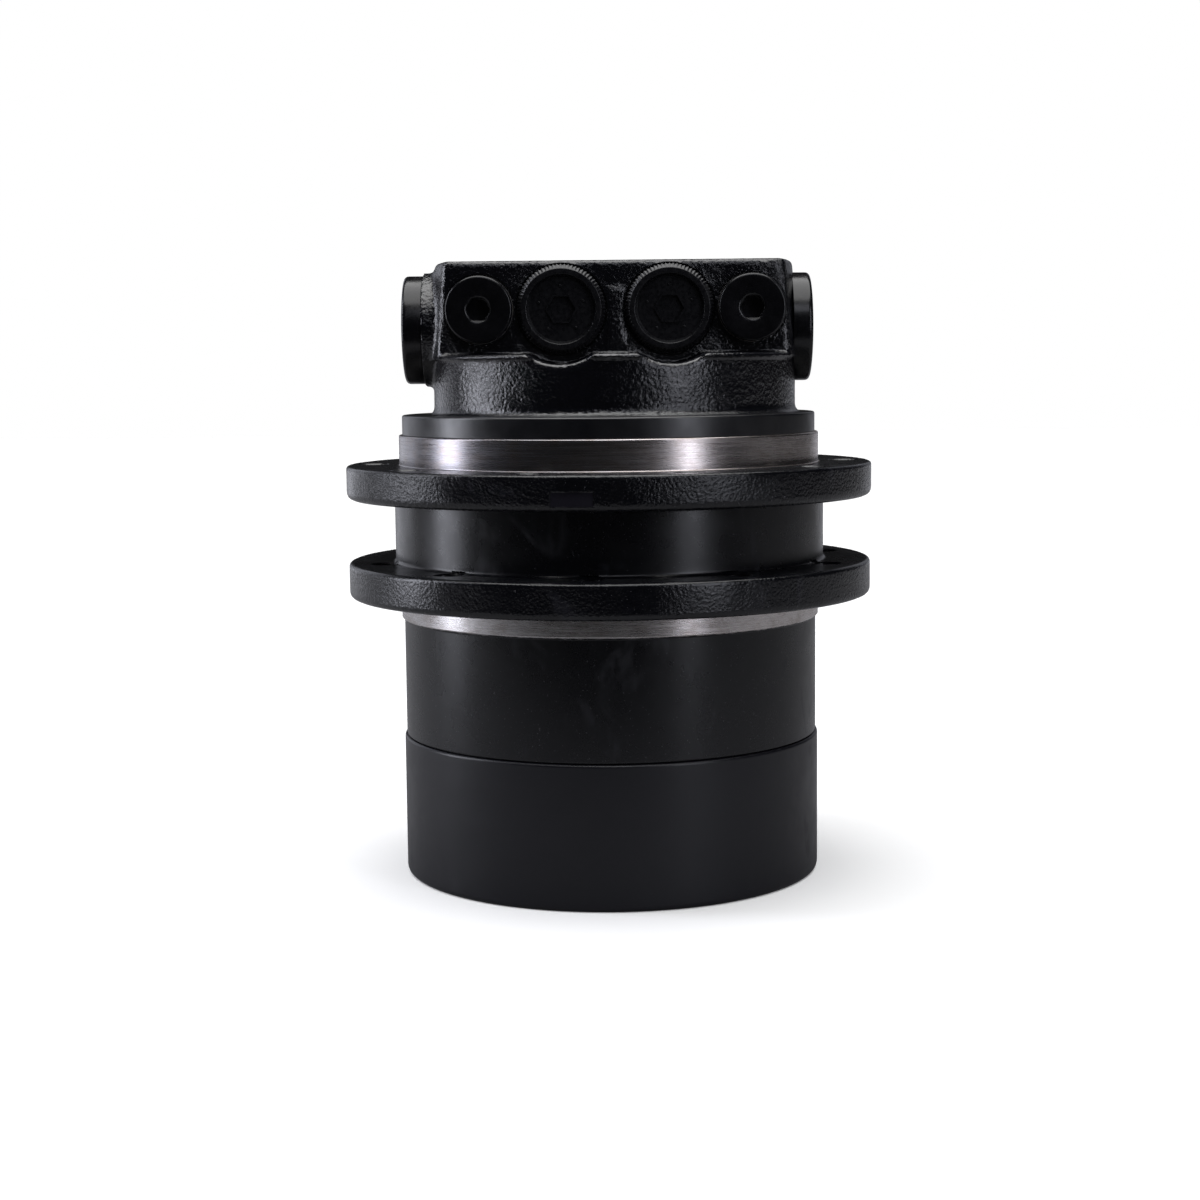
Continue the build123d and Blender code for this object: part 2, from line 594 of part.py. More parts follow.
def slippers():
    parts = []
    tilt = sliding_plane()
    for i in range(PISTONS):
        centre = tilt.to_local_coords(Vector(*ball_centre(i)))
        foot = turned((0, 0.02), (8.4, 0.02), (8.4, 3.0), (6.0, 3.2), (6.0, BALL_HEIGHT + 0.6),
                      (0, BALL_HEIGHT + 0.6))
        foot -= Pos(0, 0, BALL_HEIGHT) * Sphere(4.06)
        parts.append(tilt.location * Pos(centre.X, centre.Y, 0) * foot)
    return group(parts)


def retainer_plate():
    """Plate that keeps the slippers on the swash plate and turns with them."""
    tilt = sliding_plane()
    plate = tube(37.0, 14.0, 3.35, 5.35)
    for i in range(PISTONS):
        centre = tilt.to_local_coords(Vector(*ball_centre(i)))
        plate -= Pos(centre.X, centre.Y, 0) * Cylinder(6.6, 20)
    plate -= Pos(0, 0, BALL_HEIGHT) * Sphere(17.06)
    return tilt.location * plate


def ball_guide():
    """Domed collar that carries the retainer plate."""
    centre = ball_plane_z()
    dome = Pos(0, 0, centre) * Sphere(17.0) & disc(20, centre - 7.5, centre + 3.5)
    collar = disc(14.5, centre - 1, BLOCK_Z[0] - 1.5) + disc(18.0, BLOCK_Z[0] - 1.6, 147.0)
    return dome + collar - disc(11.6, 100, 160)


def block_spring():
    return Pos(0, 0, 147.05) * coil_spring(15.2, 1.3, 8.9, 2.6)


def valve_plate():
    """Timing plate between the cylinder block and the casing."""
    plate = tube(37.5, 21.5, BLOCK_Z[1] + 0.05, Z_CASING)
    slot = tube(PISTON_CIRCLE + 3.2, PISTON_CIRCLE - 3.2, 160, 180)
    for side in (-1, 1):
        window = Pos(side * 30, 0, 160) * Box(60, 36, 30, align=(Align.CENTER, Align.CENTER, Align.MIN))
        plate -= slot & window
    for x, y in dowel_spots():
        plate -= Pos(x, y, 160) * Cylinder(1.52, 30, align=UP)
    return plate


def dowel_spots():
    return [polar(33.5, 90), polar(33.5, 270)]


def dowel_pins():
    pin = Cylinder(1.5, Z_CASING - 169 - 0.01, align=UP)
    return group([Pos(x, y, 169) * pin for x, y in dowel_spots()])


# ---- parking brake ----------------------------------------------------------------------------
def brake_steel_plates():
    return group([tube(BRAKE_PLATE_BORE - 0.05, 40.2, z, z + 2.2) for z in (144.02, 148.42, 152.82)])


def brake_friction_plates():
    return group([tube(44.6, BLOCK_R + 0.03, z, z + 2.0) for z in (146.32, 150.72)])


def brake_piston():
    """Stepped ring that the springs press on the plates and pilot pressure lifts."""
    ring = turned((40.6, 155.12), (BRAKE_PLATE_BORE - 0.06, 155.12), (BRAKE_PLATE_BORE - 0.06, 157.6),
                  (BRAKE_CHAMBER_R - 0.06, 157.6), (BRAKE_CHAMBER_R - 0.06, BRAKE_PISTON_TOP),
                  (40.6, BRAKE_PISTON_TOP))
    ring -= tube(60, BRAKE_CHAMBER_R - 1.3, 162.5, 165.0)
    for pocket in around(Cylinder(BRAKE_POCKET_R, 20, align=UP), BRAKE_SPRINGS, BRAKE_SPRING_CIRCLE):
        ring -= Pos(0, 0, BRAKE_POCKET_FLOOR) * pocket
    return ring


def brake_springs():
    spring = coil_spring(2.45, 0.5, Z_CASING - BRAKE_POCKET_FLOOR - 0.1, 6)
    return group([Pos(0, 0, BRAKE_POCKET_FLOOR + 0.05) * s
                  for s in around(spring, BRAKE_SPRINGS, BRAKE_SPRING_CIRCLE)])


# ---- hub, cover and ring gear -----------------------------------------------------------------
def hub():
    """Rotating hub: sprocket flange and pilot outside, ring gear and bearing bores inside."""
    outside = turned(
        (0, 48), (77.95, 48), (77.95, Z_SEAM), (R_BARREL - 0.8, Z_SEAM), (R_BARREL, Z_SEAM + 0.8),
        (R_BARREL, Z_SPROCKET_PILOT - 1), (R_PILOT, Z_SPROCKET_PILOT), (R_PILOT, Z_SPROCKET_SEAT),
        (R_SPROCKET_FLANGE - 3.0, Z_SPROCKET_SEAT), (R_SPROCKET_FLANGE - 0.9, Z_SPROCKET_SEAT + 0.9),
        (R_SPROCKET_FLANGE, Z_SPROCKET_SEAT + 3.0), (R_SPROCKET_FLANGE, Z_SPROCKET_TOP - 2.0),
        (R_SPROCKET_FLANGE - 0.6, Z_SPROCKET_TOP - 0.6), (R_SPROCKET_FLANGE - 2.0, Z_SPROCKET_TOP),
        (R_HUB + 1.6, Z_SPROCKET_TOP), (R_HUB, Z_SPROCKET_TOP + 1.6), (R_HUB, Z_HUB_TOP - 0.8),
        (R_HUB - 0.8, Z_HUB_TOP), (0, Z_HUB_TOP))
    inside = turned(
        (0, 84), (70.6, 84), (70.6, 97.5), (R_HOUSING, 98), (R_HOUSING, 114), (66, 114), (66, 120),
        (R_HOUSING, 120), (R_HOUSING, 136), (71.5, 137), (SEAL_BORE_R, 139), (SEAL_BORE_R, Z_HUB_TOP + 1),
        (0, Z_HUB_TOP + 1))
    body = outside - inside
    body -= ring_teeth_cutter(Z_SEAM - 0.5, 84.5)
    body -= disc(74.7, 40, Z_SEAM)
    body -= tube(80, 76.3, 50.4, 52.8)
    for hole in around(Cylinder(SPROCKET_HOLE_R, 60, align=UP), BOLT_COUNT, SPROCKET_PCD / 2,
                       SPROCKET_FIRST_DEG):
        body -= Pos(0, 0, Z_SPROCKET_SEAT - 1) * (hole & disc(200, 0, Z_SPROCKET_TOP - Z_SPROCKET_SEAT + 3))
    return body


def end_cover():
    """Deep cup that closes the gearbox and holds the first ring gear."""
    cup = turned((0, 0), (R_COVER - 2.5, 0), (R_COVER - 0.7, 0.7), (R_COVER, 2.5), (R_COVER, Z_SEAM - 1.4),
                 (R_COVER - 1.2, Z_SEAM - 0.15), (78.05, Z_SEAM - 0.15), (78.05, 12.9), (73.0, 12.9),
                 (71.0, 10.0), (0, 10.0))
    for x, y in cover_plug_spots():
        cup -= Pos(x, y, -1) * Cylinder(7.02, 12, align=UP)
        cup -= Pos(x, y, -1) * Cylinder(11.5, 2.6, align=UP)
    return cup


def cover_plug_spots():
    return [polar(52, 200), polar(52, 340)]


def cover_plugs():
    """Oil level and drain plugs, sunk below the cover's face."""
    head = Cylinder(10.6, 1.2, align=UP) + Cylinder(7.0, 9.0, align=UP)
    plug = head - Pos(0, 0, -1) * extrude(RegularPolygon(6.0 / sqrt(3), 6), 5.0)
    return group([Pos(x, y, 0.35) * plug for x, y in cover_plug_spots()])


def cover_o_ring():
    return tube(78.0, 76.35, 50.8, 52.4)


def ring_gear():
    """Ring gear of the first stage, clamped between hub and cover."""
    return disc(78.0, 13.0, 47.9) - ring_teeth_cutter(12, 49)


def thrust_pad():
    """Wear pad between the cover and the end of the shaft."""
    pad = disc(14.0, 10.02, 15.0)
    return fillet(pad.edges().group_by(Axis.Z)[-1], 1.0)


# ---- planetary stages -------------------------------------------------------------------------
def planet_places(first_deg, circle):
    return [(first_deg + 360 / PLANETS * i, *polar(circle, first_deg + 360 / PLANETS * i))
            for i in range(PLANETS)]


def planet(teeth, z_range, pin_r, place):
    """One planet gear on its place, turned into mesh with its ring and sun."""
    degrees, x, y = place
    wheel = gear(teeth, *z_range, planet_phase(teeth, degrees))
    wheel -= disc(pin_r + PIN_GAP, z_range[0] - 1, z_range[1] + 1)
    return Pos(x, y, 0) * wheel


def first_sun_gear():
    sun = gear(FIRST_SUN_TEETH, 16.6, 38.0, sun_phase(FIRST_SUN_TEETH, FIRST_PLANET_TEETH, FIRST_PLANET_DEG))
    return sun - spline_shape(6.35, 7.25, 16, 39)


def first_planet_pins():
    pin = Cylinder(FIRST_PIN_R, 33.5, align=UP)
    head = Cylinder(FIRST_PIN_R + 2.5, 1.6, align=UP)
    places = planet_places(FIRST_PLANET_DEG, FIRST_CIRCLE)
    return group([Pos(x, y, 15.2) * (pin + head) for _, x, y in places])


def first_carrier():
    """Three-armed plate that carries the first planets and turns the second sun gear."""
    plate = disc(30.0, 38.0, 48.5)
    for degrees, x, y in planet_places(FIRST_PLANET_DEG, FIRST_CIRCLE):
        boss = Pos(x, y, 38.0) * Cylinder(15.0, 10.5, align=UP)
        arm = Rot(0, 0, degrees) * (Pos(FIRST_CIRCLE / 2, 0, 38.0) * Box(FIRST_CIRCLE, 30, 10.5, align=UP))
        plate += boss + arm
    for _, x, y in planet_places(FIRST_PLANET_DEG, FIRST_CIRCLE):
        plate -= Pos(x, y, 30) * Cylinder(FIRST_PIN_R + 0.01, 30, align=UP)
    return plate - disc(14.02, 30, 60)


def second_sun_gear():
    sun = gear(SECOND_SUN_TEETH, 54.5, 80.8,
               sun_phase(SECOND_SUN_TEETH, SECOND_PLANET_TEETH, SECOND_PLANET_DEG))
    sun += disc(14.0, 38.2, 55.0) + disc(17.5, 49.0, 54.0)
    return sun - disc(9.5, 30, 90)


def fixed_carrier():
    """Plate on the spindle's end that holds the output planets."""
    plate = disc(60.0, 82.2, Z_SPINDLE)
    plate -= disc(12.5, 80, 95)
    for _, x, y in planet_places(SECOND_PLANET_DEG, SECOND_CIRCLE):
        plate -= Pos(x, y, 80) * Cylinder(SECOND_PIN_R + 0.01, 20, align=UP)
    for x, y in carrier_screw_spots():
        plate -= Pos(x, y, 80) * Cylinder(4.3, 20, align=UP)
        plate -= Pos(x, y, 80) * Cylinder(6.9, 7.4, align=UP)
    return plate


def carrier_screw_spots():
    return [polar(36, SECOND_PLANET_DEG + 60 + 120 * i) for i in range(PLANETS)]


def carrier_screws():
    head = Cylinder(6.5, 5.0, align=UP) - Pos(0, 0, -1) * extrude(RegularPolygon(6 / sqrt(3), 6), 4.0)
    shank = Cylinder(4.0, 18.0, align=UP)
    screw = head + (Pos(0, 0, 4.0) * shank)
    return group([Pos(x, y, 82.4) * screw for x, y in carrier_screw_spots()])


def output_planet_pins():
    pin = Cylinder(SECOND_PIN_R, Z_SPINDLE - 54.2 - 0.02, align=UP)
    head = Cylinder(SECOND_PIN_R + 3, 1.5, align=UP)
    places = planet_places(SECOND_PLANET_DEG, SECOND_CIRCLE)
    return group([Pos(x, y, 54.2) * (pin + head) for _, x, y in places])


# ---- all nodes --------------------------------------------------------------------------------
def all_nodes():
    main_inner, main_outer, main_balls = main_bearings()
    shaft_inner, shaft_outer, shaft_balls = shaft_bearings()
    casing, block = casing_parts()
    nodes = {
        "valve_casing": casing,
        "port_block": block,
        "casing_screws": casing_screws(),
        "casing_seals": casing_seals(),
        "port_plug_left": port_plug(PORT_XS[0]),
        "port_plug_right": port_plug(PORT_XS[1]),
        "drain_plug_left": drain_plug(DRAIN_XS[0]),
        "drain_plug_right": drain_plug(DRAIN_XS[1]),
        "drain_plug_seals": drain_plug_seals(),
        "valve_cap_left": valve_cap(-1),
        "valve_cap_right": valve_cap(1),
        "counterbalance_spool": counterbalance_spool(),
        "spool_spring_left": spool_spring(-1),
        "spool_spring_right": spool_spring(1),
        "motor_spindle": motor_spindle(),
        "bearing_nut": bearing_nut(),
        "main_bearing_inner_rings": main_inner,
        "main_bearing_outer_rings": main_outer,
        "main_bearing_balls": main_balls,
        "shaft_bearing_inner_rings": shaft_inner,
        "shaft_bearing_outer_rings": shaft_outer,
        "shaft_bearing_balls": shaft_balls,
        "floating_seal_case_ring": floating_seal_ring(147.72, 152.6),
        "floating_seal_hub_ring": floating_seal_ring(147.68, 142.8),
        "floating_seal_case_o_ring": floating_seal_case_o_ring(),
        "floating_seal_hub_o_ring": floating_seal_hub_o_ring(),
        "swash_plate": swash_plate(),
        "drive_shaft": drive_shaft(),
        "shaft_seal": shaft_seal(),
        "cylinder_block": cylinder_block(),
        "pistons": pistons(),
        "slippers": slippers(),
        "retainer_plate": retainer_plate(),
        "ball_guide": ball_guide(),
        "block_spring": block_spring(),
        "valve_plate": valve_plate(),
        "dowel_pins": dowel_pins(),
        "brake_steel_plates": brake_steel_plates(),
        "brake_friction_plates": brake_friction_plates(),
        "brake_piston": brake_piston(),
        "brake_springs": brake_springs(),
        "hub": hub(),
        "end_cover": end_cover(),
        "cover_plugs": cover_plugs(),
        "cover_o_ring": cover_o_ring(),
        "first_ring_gear": ring_gear(),
        "thrust_pad": thrust_pad(),
        "first_sun_gear": first_sun_gear(),
        "first_planet_pins": first_planet_pins(),
        "first_carrier": first_carrier(),
        "second_sun_gear": second_sun_gear(),
        "fixed_carrier": fixed_carrier(),
        "carrier_screws": carrier_screws(),
        "output_planet_pins": output_planet_pins(),
    }
    for name, place in zip("abc", planet_places(FIRST_PLANET_DEG, FIRST_CIRCLE)):
        nodes[f"first_planet_{name}"] = planet(FIRST_PLANET_TEETH, FIRST_GEARS_Z, FIRST_PIN_R, place)
    for name, place in zip("abc", planet_places(SECOND_PLANET_DEG, SECOND_CIRCLE)):
        nodes[f"output_planet_{name}"] = planet(SECOND_PLANET_TEETH, SECOND_GEARS_Z, SECOND_PIN_R, place)
    return nodes


os.makedirs("parts", exist_ok=True)
for node_name, shape in all_nodes().items():
    export_step(shape, f"parts/{node_name}.step")
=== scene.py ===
"""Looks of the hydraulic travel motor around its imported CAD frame.

Shapes are in millimetres in the row frame and become metres when their mesh is made.
"""
import json
from math import cos, pi, radians, sin, sqrt, tan

import bpy
import numpy as np
from mathutils import Matrix, Vector, noise

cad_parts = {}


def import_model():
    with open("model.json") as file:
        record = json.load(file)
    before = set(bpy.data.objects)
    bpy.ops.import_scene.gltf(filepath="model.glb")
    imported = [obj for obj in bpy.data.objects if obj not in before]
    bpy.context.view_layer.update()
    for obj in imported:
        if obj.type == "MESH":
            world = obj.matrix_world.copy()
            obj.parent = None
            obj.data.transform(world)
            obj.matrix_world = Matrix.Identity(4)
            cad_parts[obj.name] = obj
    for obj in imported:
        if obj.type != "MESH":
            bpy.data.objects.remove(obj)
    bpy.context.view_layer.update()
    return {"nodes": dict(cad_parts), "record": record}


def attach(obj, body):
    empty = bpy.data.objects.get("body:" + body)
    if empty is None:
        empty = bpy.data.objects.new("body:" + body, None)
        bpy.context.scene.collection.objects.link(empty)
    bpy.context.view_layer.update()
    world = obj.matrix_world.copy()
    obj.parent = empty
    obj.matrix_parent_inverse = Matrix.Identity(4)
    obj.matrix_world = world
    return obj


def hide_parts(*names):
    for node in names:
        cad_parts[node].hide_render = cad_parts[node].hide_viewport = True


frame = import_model()

MM = 0.001
ROUND = 288                # segments of a large turned shape
SMALL_ROUND = 96           # segments of a bolt hole or screw
SEAT_ROUND = 192           # segments of a plug, a cap or its seat
ARC_STEPS = 5              # segments of a rounded corner

# ---- heights and radii of the turned outside ---------------------------------------------------
Z_SEAM = 55.0
Z_SPROCKET_PILOT = 101.5
Z_SPROCKET_SEAT = 109.7
Z_SPROCKET_TOP = 123.3
Z_HUB_TOP = 147.4
Z_FRAME_LOW = 148.0
Z_FRAME_SEAT = 161.1
Z_CASING = 172.8
Z_RING_TOP = 180.5
Z_LEDGE = 203.5
Z_TOP = 239.0
R_COVER = 82.3
R_BARREL = 81.5
R_PILOT = 82.5
R_SPROCKET_FLANGE = 102.8
R_HUB = 84.5
R_FRAME_FLANGE = 103.2
R_FOOT_RING = 81.1
R_NECK = 71.0
R_BLOCK_LOW = 72.4
R_BLOCK_HIGH = 69.8

# ---- bolts, ports and valve --------------------------------------------------------------------
BOLTS = 10
SPROCKET_HOLES = (90.0, 5.1, -23.0)      # circle radius, hole radius, first angle
FRAME_HOLES = (93.0, 5.5, -72.0)
NOTCH_DEG = -97.2          # window in the frame flange's rim
NOTCH_DEPTH = 1.2
NOTCH_HALF = 7.6
NOTCH_Z = (Z_FRAME_LOW + 1.8, Z_FRAME_LOW + 7.4)
NOTCH_X = (-20.4, -5.4)    # the window's floor as the paint sees it, painted lighter there as a painted highlight
NOTCH_Y = -94.0
CASING_SHIFT = 2.6
PORT_FACE_Y = -27.0
PORT_Z = 220.4
PORT_XS = (3.2 - 20.6, 3.2 + 20.6)
DRAIN_XS = (3.2 - 51.8, 3.2 + 51.8)
SPOOL_X = 3.2
SPOOL_Z = 213.5
CAP_R = 21.0
CAP_SEAT_X = 71.5
CAP_FACE_X = 79.2
SCREW_CIRCLE = 59.0
BACK_SCREWS = ((26, 58, 90, 122, 154), 227.0)
FRONT_SCREWS = ((-40, -90, -140), 188.0)
COVER_PLUGS = (52.0, (200, 340))

# ---- casting -----------------------------------------------------------------------------------
VOXEL = 0.85
CAST_ROUNDING = 2.6        # blend at the casting's outer edges
Z_BLOCK_LOW = Z_LEDGE - 1.8
R_CAST_FOOT = 78.0         # foot before it is turned
R_BOSS = CAP_R + 1.2
R_SCALLOP = 20.8           # round the transport plugs
FLARE = 3.6                # blend between neck and foot ring
SKIN_RELIEF = 0.075        # height of the cast skin's waves
SKIN_WAVE = 2.3            # their width

# ---- gears -------------------------------------------------------------------------------------
RING_TEETH = 72
RING_PITCH_R = 72.0

# ---- stage -------------------------------------------------------------------------------------
FLOOR_HALF = 3000.0
FLOOR_CORNER = 60.0
FLOOR_DEPTH = 12.0
FLOOR_SHIFT = 2580.0       # the table reaches far behind the motor
EYE = (0.0, -0.8234, 0.19757)
EYE_PITCH = radians(6.34)
EYE_ROLL = radians(0.6)
EYE_YAW = -0.0048
LENS = 62.3
LIGHT_COLOUR = (0.88, 0.90, 1.0)


# ================================================================================================
# Shapes as (vertices, faces), in millimetres
# ================================================================================================
def rounded(corners):
    """Closed outline whose corners are (r, z) or (r, z, rounding)."""
    outline = []
    for i, corner in enumerate(corners):
        here = Vector(corner[:2])
        if len(corner) == 2:
            outline.append(here)
            continue
        to_last = (Vector(corners[i - 1][:2]) - here).normalized()
        to_next = (Vector(corners[(i + 1) % len(corners)][:2]) - here).normalized()
        reach = corner[2] / tan(to_last.angle(to_next) / 2)
        start = here + to_last * reach
        end = here + to_next * reach
        for step in range(ARC_STEPS + 1):
            t = step / ARC_STEPS
            outline.append(start * (1 - t) ** 2 + here * 2 * t * (1 - t) + end * t * t)
    return outline


def turned(corners, segments=ROUND, wave=None):
    """Shape turned about Z from (radius, height) corners; wave(radius, angle, z) may alter a radius."""
    vertices = []
    rings = []
    for r, z in rounded(corners):
        if r < 1e-6:
            rings.append([len(vertices)])
            vertices.append((0, 0, z))
            continue
        rings.append(range(len(vertices), len(vertices) + segments))
        for i in range(segments):
            angle = 2 * pi * i / segments
            radius = wave(r, angle, z) if wave else r
            vertices.append((radius * cos(angle), radius * sin(angle), z))
    faces = []
    for low, high in zip(rings, rings[1:] + rings[:1]):
        if len(low) == 1 and len(high) == 1:
            continue
        for i in range(segments):
            j = (i + 1) % segments
            face = [low[i % len(low)], low[j % len(low)], high[j % len(high)], high[i % len(high)]]
            faces.append(list(dict.fromkeys(face)))
    return np.array(vertices), faces


def prism(outline, low, high):
    """Straight prism over a closed outline of (x, y) points."""
    n = len(outline)
    vertices = [(x, y, z) for z in (low, high) for x, y in outline]
    faces = [list(range(n))[::-1], list(range(n, 2 * n))]
    faces += [[i, (i + 1) % n, n + (i + 1) % n, n + i] for i in range(n)]
    return np.array(vertices), faces


def box(low, high):
    outline = [(low[0], low[1]), (high[0], low[1]), (high[0], high[1]), (low[0], high[1])]
    return prism(outline, low[2], high[2])


def hexagon(across_flats, low, high):
    r = across_flats / sqrt(3)
    return prism([polar(r, 60 * i) for i in range(6)], low, high)


def plain_disc(radius, low, high, segments=SMALL_ROUND):
    return turned([(0, low), (radius, low), (radius, high), (0, high)], segments)


def drill(radius, low, high, low_chamfer=0.0, high_chamfer=0.0, segments=SMALL_ROUND):
    """Cutter for a hole between two faces, with 45 degree chamfers at its mouths."""
    past = 1.0
    bottom = radius + low_chamfer + past if low_chamfer else radius
    top = radius + high_chamfer + past if high_chamfer else radius
    corners = [(0, low - past), (bottom, low - past)]
    if low_chamfer:
        corners.append((radius, low + low_chamfer))
    if high_chamfer:
        corners.append((radius, high - high_chamfer))
    return turned(corners + [(top, high + past), (0, high + past)], segments)


def moved(shape, matrix):
    vertices, faces = shape
    m = np.array(matrix)
    return vertices @ m[:3, :3].T + m[:3, 3], faces


def at(x, y, z):
    return Matrix.Translation((x, y, z))


def along_y(x, y, z):
    """Places a shape built along +Z so that it points to -Y."""
    return at(x, y, z) @ Matrix.Rotation(pi / 2, 4, "X")


def along_x(x, y, z, painted_shade_across):
    """Places a shape built along +Z so that it points to +X or -X."""
    return at(x, y, z) @ Matrix.Rotation(painted_shade_across * pi / 2, 4, "Y")


def merged(shapes):
    vertices = []
    faces = []
    count = 0
    for v, f in shapes:
        vertices.append(v)
        faces += [[i + count for i in face] for face in f]
        count += len(v)
    return np.vstack(vertices), faces


def polar(radius, degrees):
    return radius * cos(radians(degrees)), radius * sin(radians(degrees))


def on_circle(shape, radius, angles):
    """Copies of a shape on a circle about the drive axis."""
    return merged([moved(shape, at(*polar(radius, a), 0)) for a in angles])


def bolt_angles(first, count=BOLTS):
    return [first + 360 / count * i for i in range(count)]


# ================================================================================================
# Blender objects
# ================================================================================================
def make(name, shape):
    vertices, faces = shape
    mesh = bpy.data.meshes.new(name)
    mesh.from_pydata((vertices * MM).tolist(), [], faces)
    mesh.validate()
    piece = bpy.data.objects.new(name, mesh)
    bpy.context.scene.collection.objects.link(piece)
    flip_if_inside_out(piece)
    return piece


def flip_if_inside_out(piece):
    """Turns the faces outwards, so that the mesh holds a positive volume."""
    mesh = piece.data
    mesh.calc_loop_triangles()
    corners = np.empty(len(mesh.loop_triangles) * 3, np.int32)
    mesh.loop_triangles.foreach_get("vertices", corners)
    a, b, c = places(mesh)[corners].reshape(-1, 3, 3).transpose(1, 0, 2)
    if (np.cross(a, b) * c).sum() < 0:
        mesh.flip_normals()


def places(mesh):
    flat = np.empty(len(mesh.vertices) * 3)
    mesh.vertices.foreach_get("co", flat)
    return flat.reshape(-1, 3)


def apply_modifiers(piece):
    evaluated = piece.evaluated_get(bpy.context.evaluated_depsgraph_get())
    mesh = bpy.data.meshes.new_from_object(evaluated)
    piece.modifiers.clear()
    piece.data = mesh


def combine(piece, shape, operation="DIFFERENCE"):
    """Cuts a shape out of a piece, or adds it."""
    tool = make("tool", shape)
    step = piece.modifiers.new("step", "BOOLEAN")
    step.operation = operation
    step.solver = "MANIFOLD"
    step.object = tool
    apply_modifiers(piece)
    bpy.data.objects.remove(tool)


def shade(piece, sharp_deg=32):
    """Smooth shading with sharp edges kept, and flat faces that stay flat."""
    piece.data.shade_smooth()
    piece.data.set_sharp_from_angle(angle=radians(sharp_deg))
    weighted = piece.modifiers.new("flat_faces", "WEIGHTED_NORMAL")
    weighted.keep_sharp = True
    weighted.weight = 80
    return piece


# ================================================================================================
# Materials
# ================================================================================================
class Finish:
    """A Principled material being put together from nodes."""

    def __init__(self, name, **constants):
        self.material = bpy.data.materials.new(name)
        self.material.use_nodes = True
        self.tree = self.material.node_tree
        self.shader = self.tree.nodes["Principled BSDF"]
        for socket, value in constants.items():
            self.shader.inputs[socket.replace("_", " ")].default_value = value
        self.coords = self.add("ShaderNodeTexCoord").outputs["Object"]

    def add(self, kind, inputs=(), **settings):
        node = self.tree.nodes.new(kind)
        for key, value in settings.items():
            setattr(node, key, value)
        for key, value in dict(inputs).items():
            if isinstance(value, bpy.types.NodeSocket):
                self.tree.links.new(value, node.inputs[key])
            else:
                node.inputs[key].default_value = value
        return node

    def feed(self, socket, value):
        self.tree.links.new(value, self.shader.inputs[socket])

    def noise(self, size, detail=3.0, roughness=0.55, stretch=(1, 1, 1), distortion=0.0):
        """Noise whose features are about size millimetres wide."""
        place = self.add("ShaderNodeMapping", {"Vector": self.coords, "Scale": stretch})
        node = self.add("ShaderNodeTexNoise", {
            "Vector": place.outputs["Vector"], "Scale": 1 / (size * MM), "Detail": detail,
            "Roughness": roughness, "Distortion": distortion})
        return node.outputs["Fac"]

    def cells(self, size):
        node = self.add("ShaderNodeTexVoronoi", {
            "Vector": self.coords, "Scale": 1 / (size * MM), "Smoothness": 0.6}, feature="SMOOTH_F1")
        return node.outputs["Distance"]

    def span(self, value, low, high, to_low=0.0, to_high=1.0):
        """Maps low..high smoothly to to_low..to_high and clamps outside it."""
        node = self.add("ShaderNodeMapRange", {
            "Value": value, "From Min": low, "From Max": high, "To Min": to_low, "To Max": to_high},
            interpolation_type="SMOOTHSTEP")
        return node.outputs["Result"]

    def math(self, operation, a, b=0.0):
        return self.add("ShaderNodeMath", {0: a, 1: b}, operation=operation).outputs[0]

    def blend(self, share, a, b):
        """Value between two numbers or sockets."""
        node = self.add("ShaderNodeMix", {"Factor": share, "A": a, "B": b}, data_type="FLOAT")
        return node.outputs["Result"]

    def tint(self, share, a, b):
        node = self.add("ShaderNodeMix", data_type="RGBA")
        for socket, value in ((node.inputs[0], share), (node.inputs[6], a), (node.inputs[7], b)):
            if isinstance(value, bpy.types.NodeSocket):
                self.tree.links.new(value, socket)
            else:
                socket.default_value = (*value, 1.0) if isinstance(value, tuple) else value
        return node.outputs[2]

    def bump(self, height, depth, under=None):
        """Relief of depth millimetres over the height's whole range."""
        inputs = {"Height": height, "Distance": depth * MM, "Strength": 1.0}
        if under:
            inputs["Normal"] = under
        return self.add("ShaderNodeBump", inputs).outputs["Normal"]

    def across(self):
        """Place along X and along Y, in millimetres from the drive axis."""
        parts = self.add("ShaderNodeSeparateXYZ", {"Vector": self.coords}).outputs
        return self.math("DIVIDE", parts["X"], MM), self.math("DIVIDE", parts["Y"], MM)

    def radius_and_height(self):
        """Distance from the drive axis and height, both in millimetres."""
        parts = self.add("ShaderNodeSeparateXYZ", {"Vector": self.coords}).outputs
        flat = self.add("ShaderNodeCombineXYZ", {"X": parts["X"], "Y": parts["Y"]}).outputs[0]
        length = self.add("ShaderNodeVectorMath", {0: flat}, operation="LENGTH").outputs["Value"]
        return self.math("DIVIDE", length, MM), self.math("DIVIDE", parts["Z"], MM)

    def band(self, value, low, high, edge):
        """1 between low and high, falling to 0 over an edge width on either side."""
        rise = self.span(value, low - edge, low + edge)
        fall = self.span(value, high - edge, high + edge, 1.0, 0.0)
        return self.math("MULTIPLY", rise, fall)


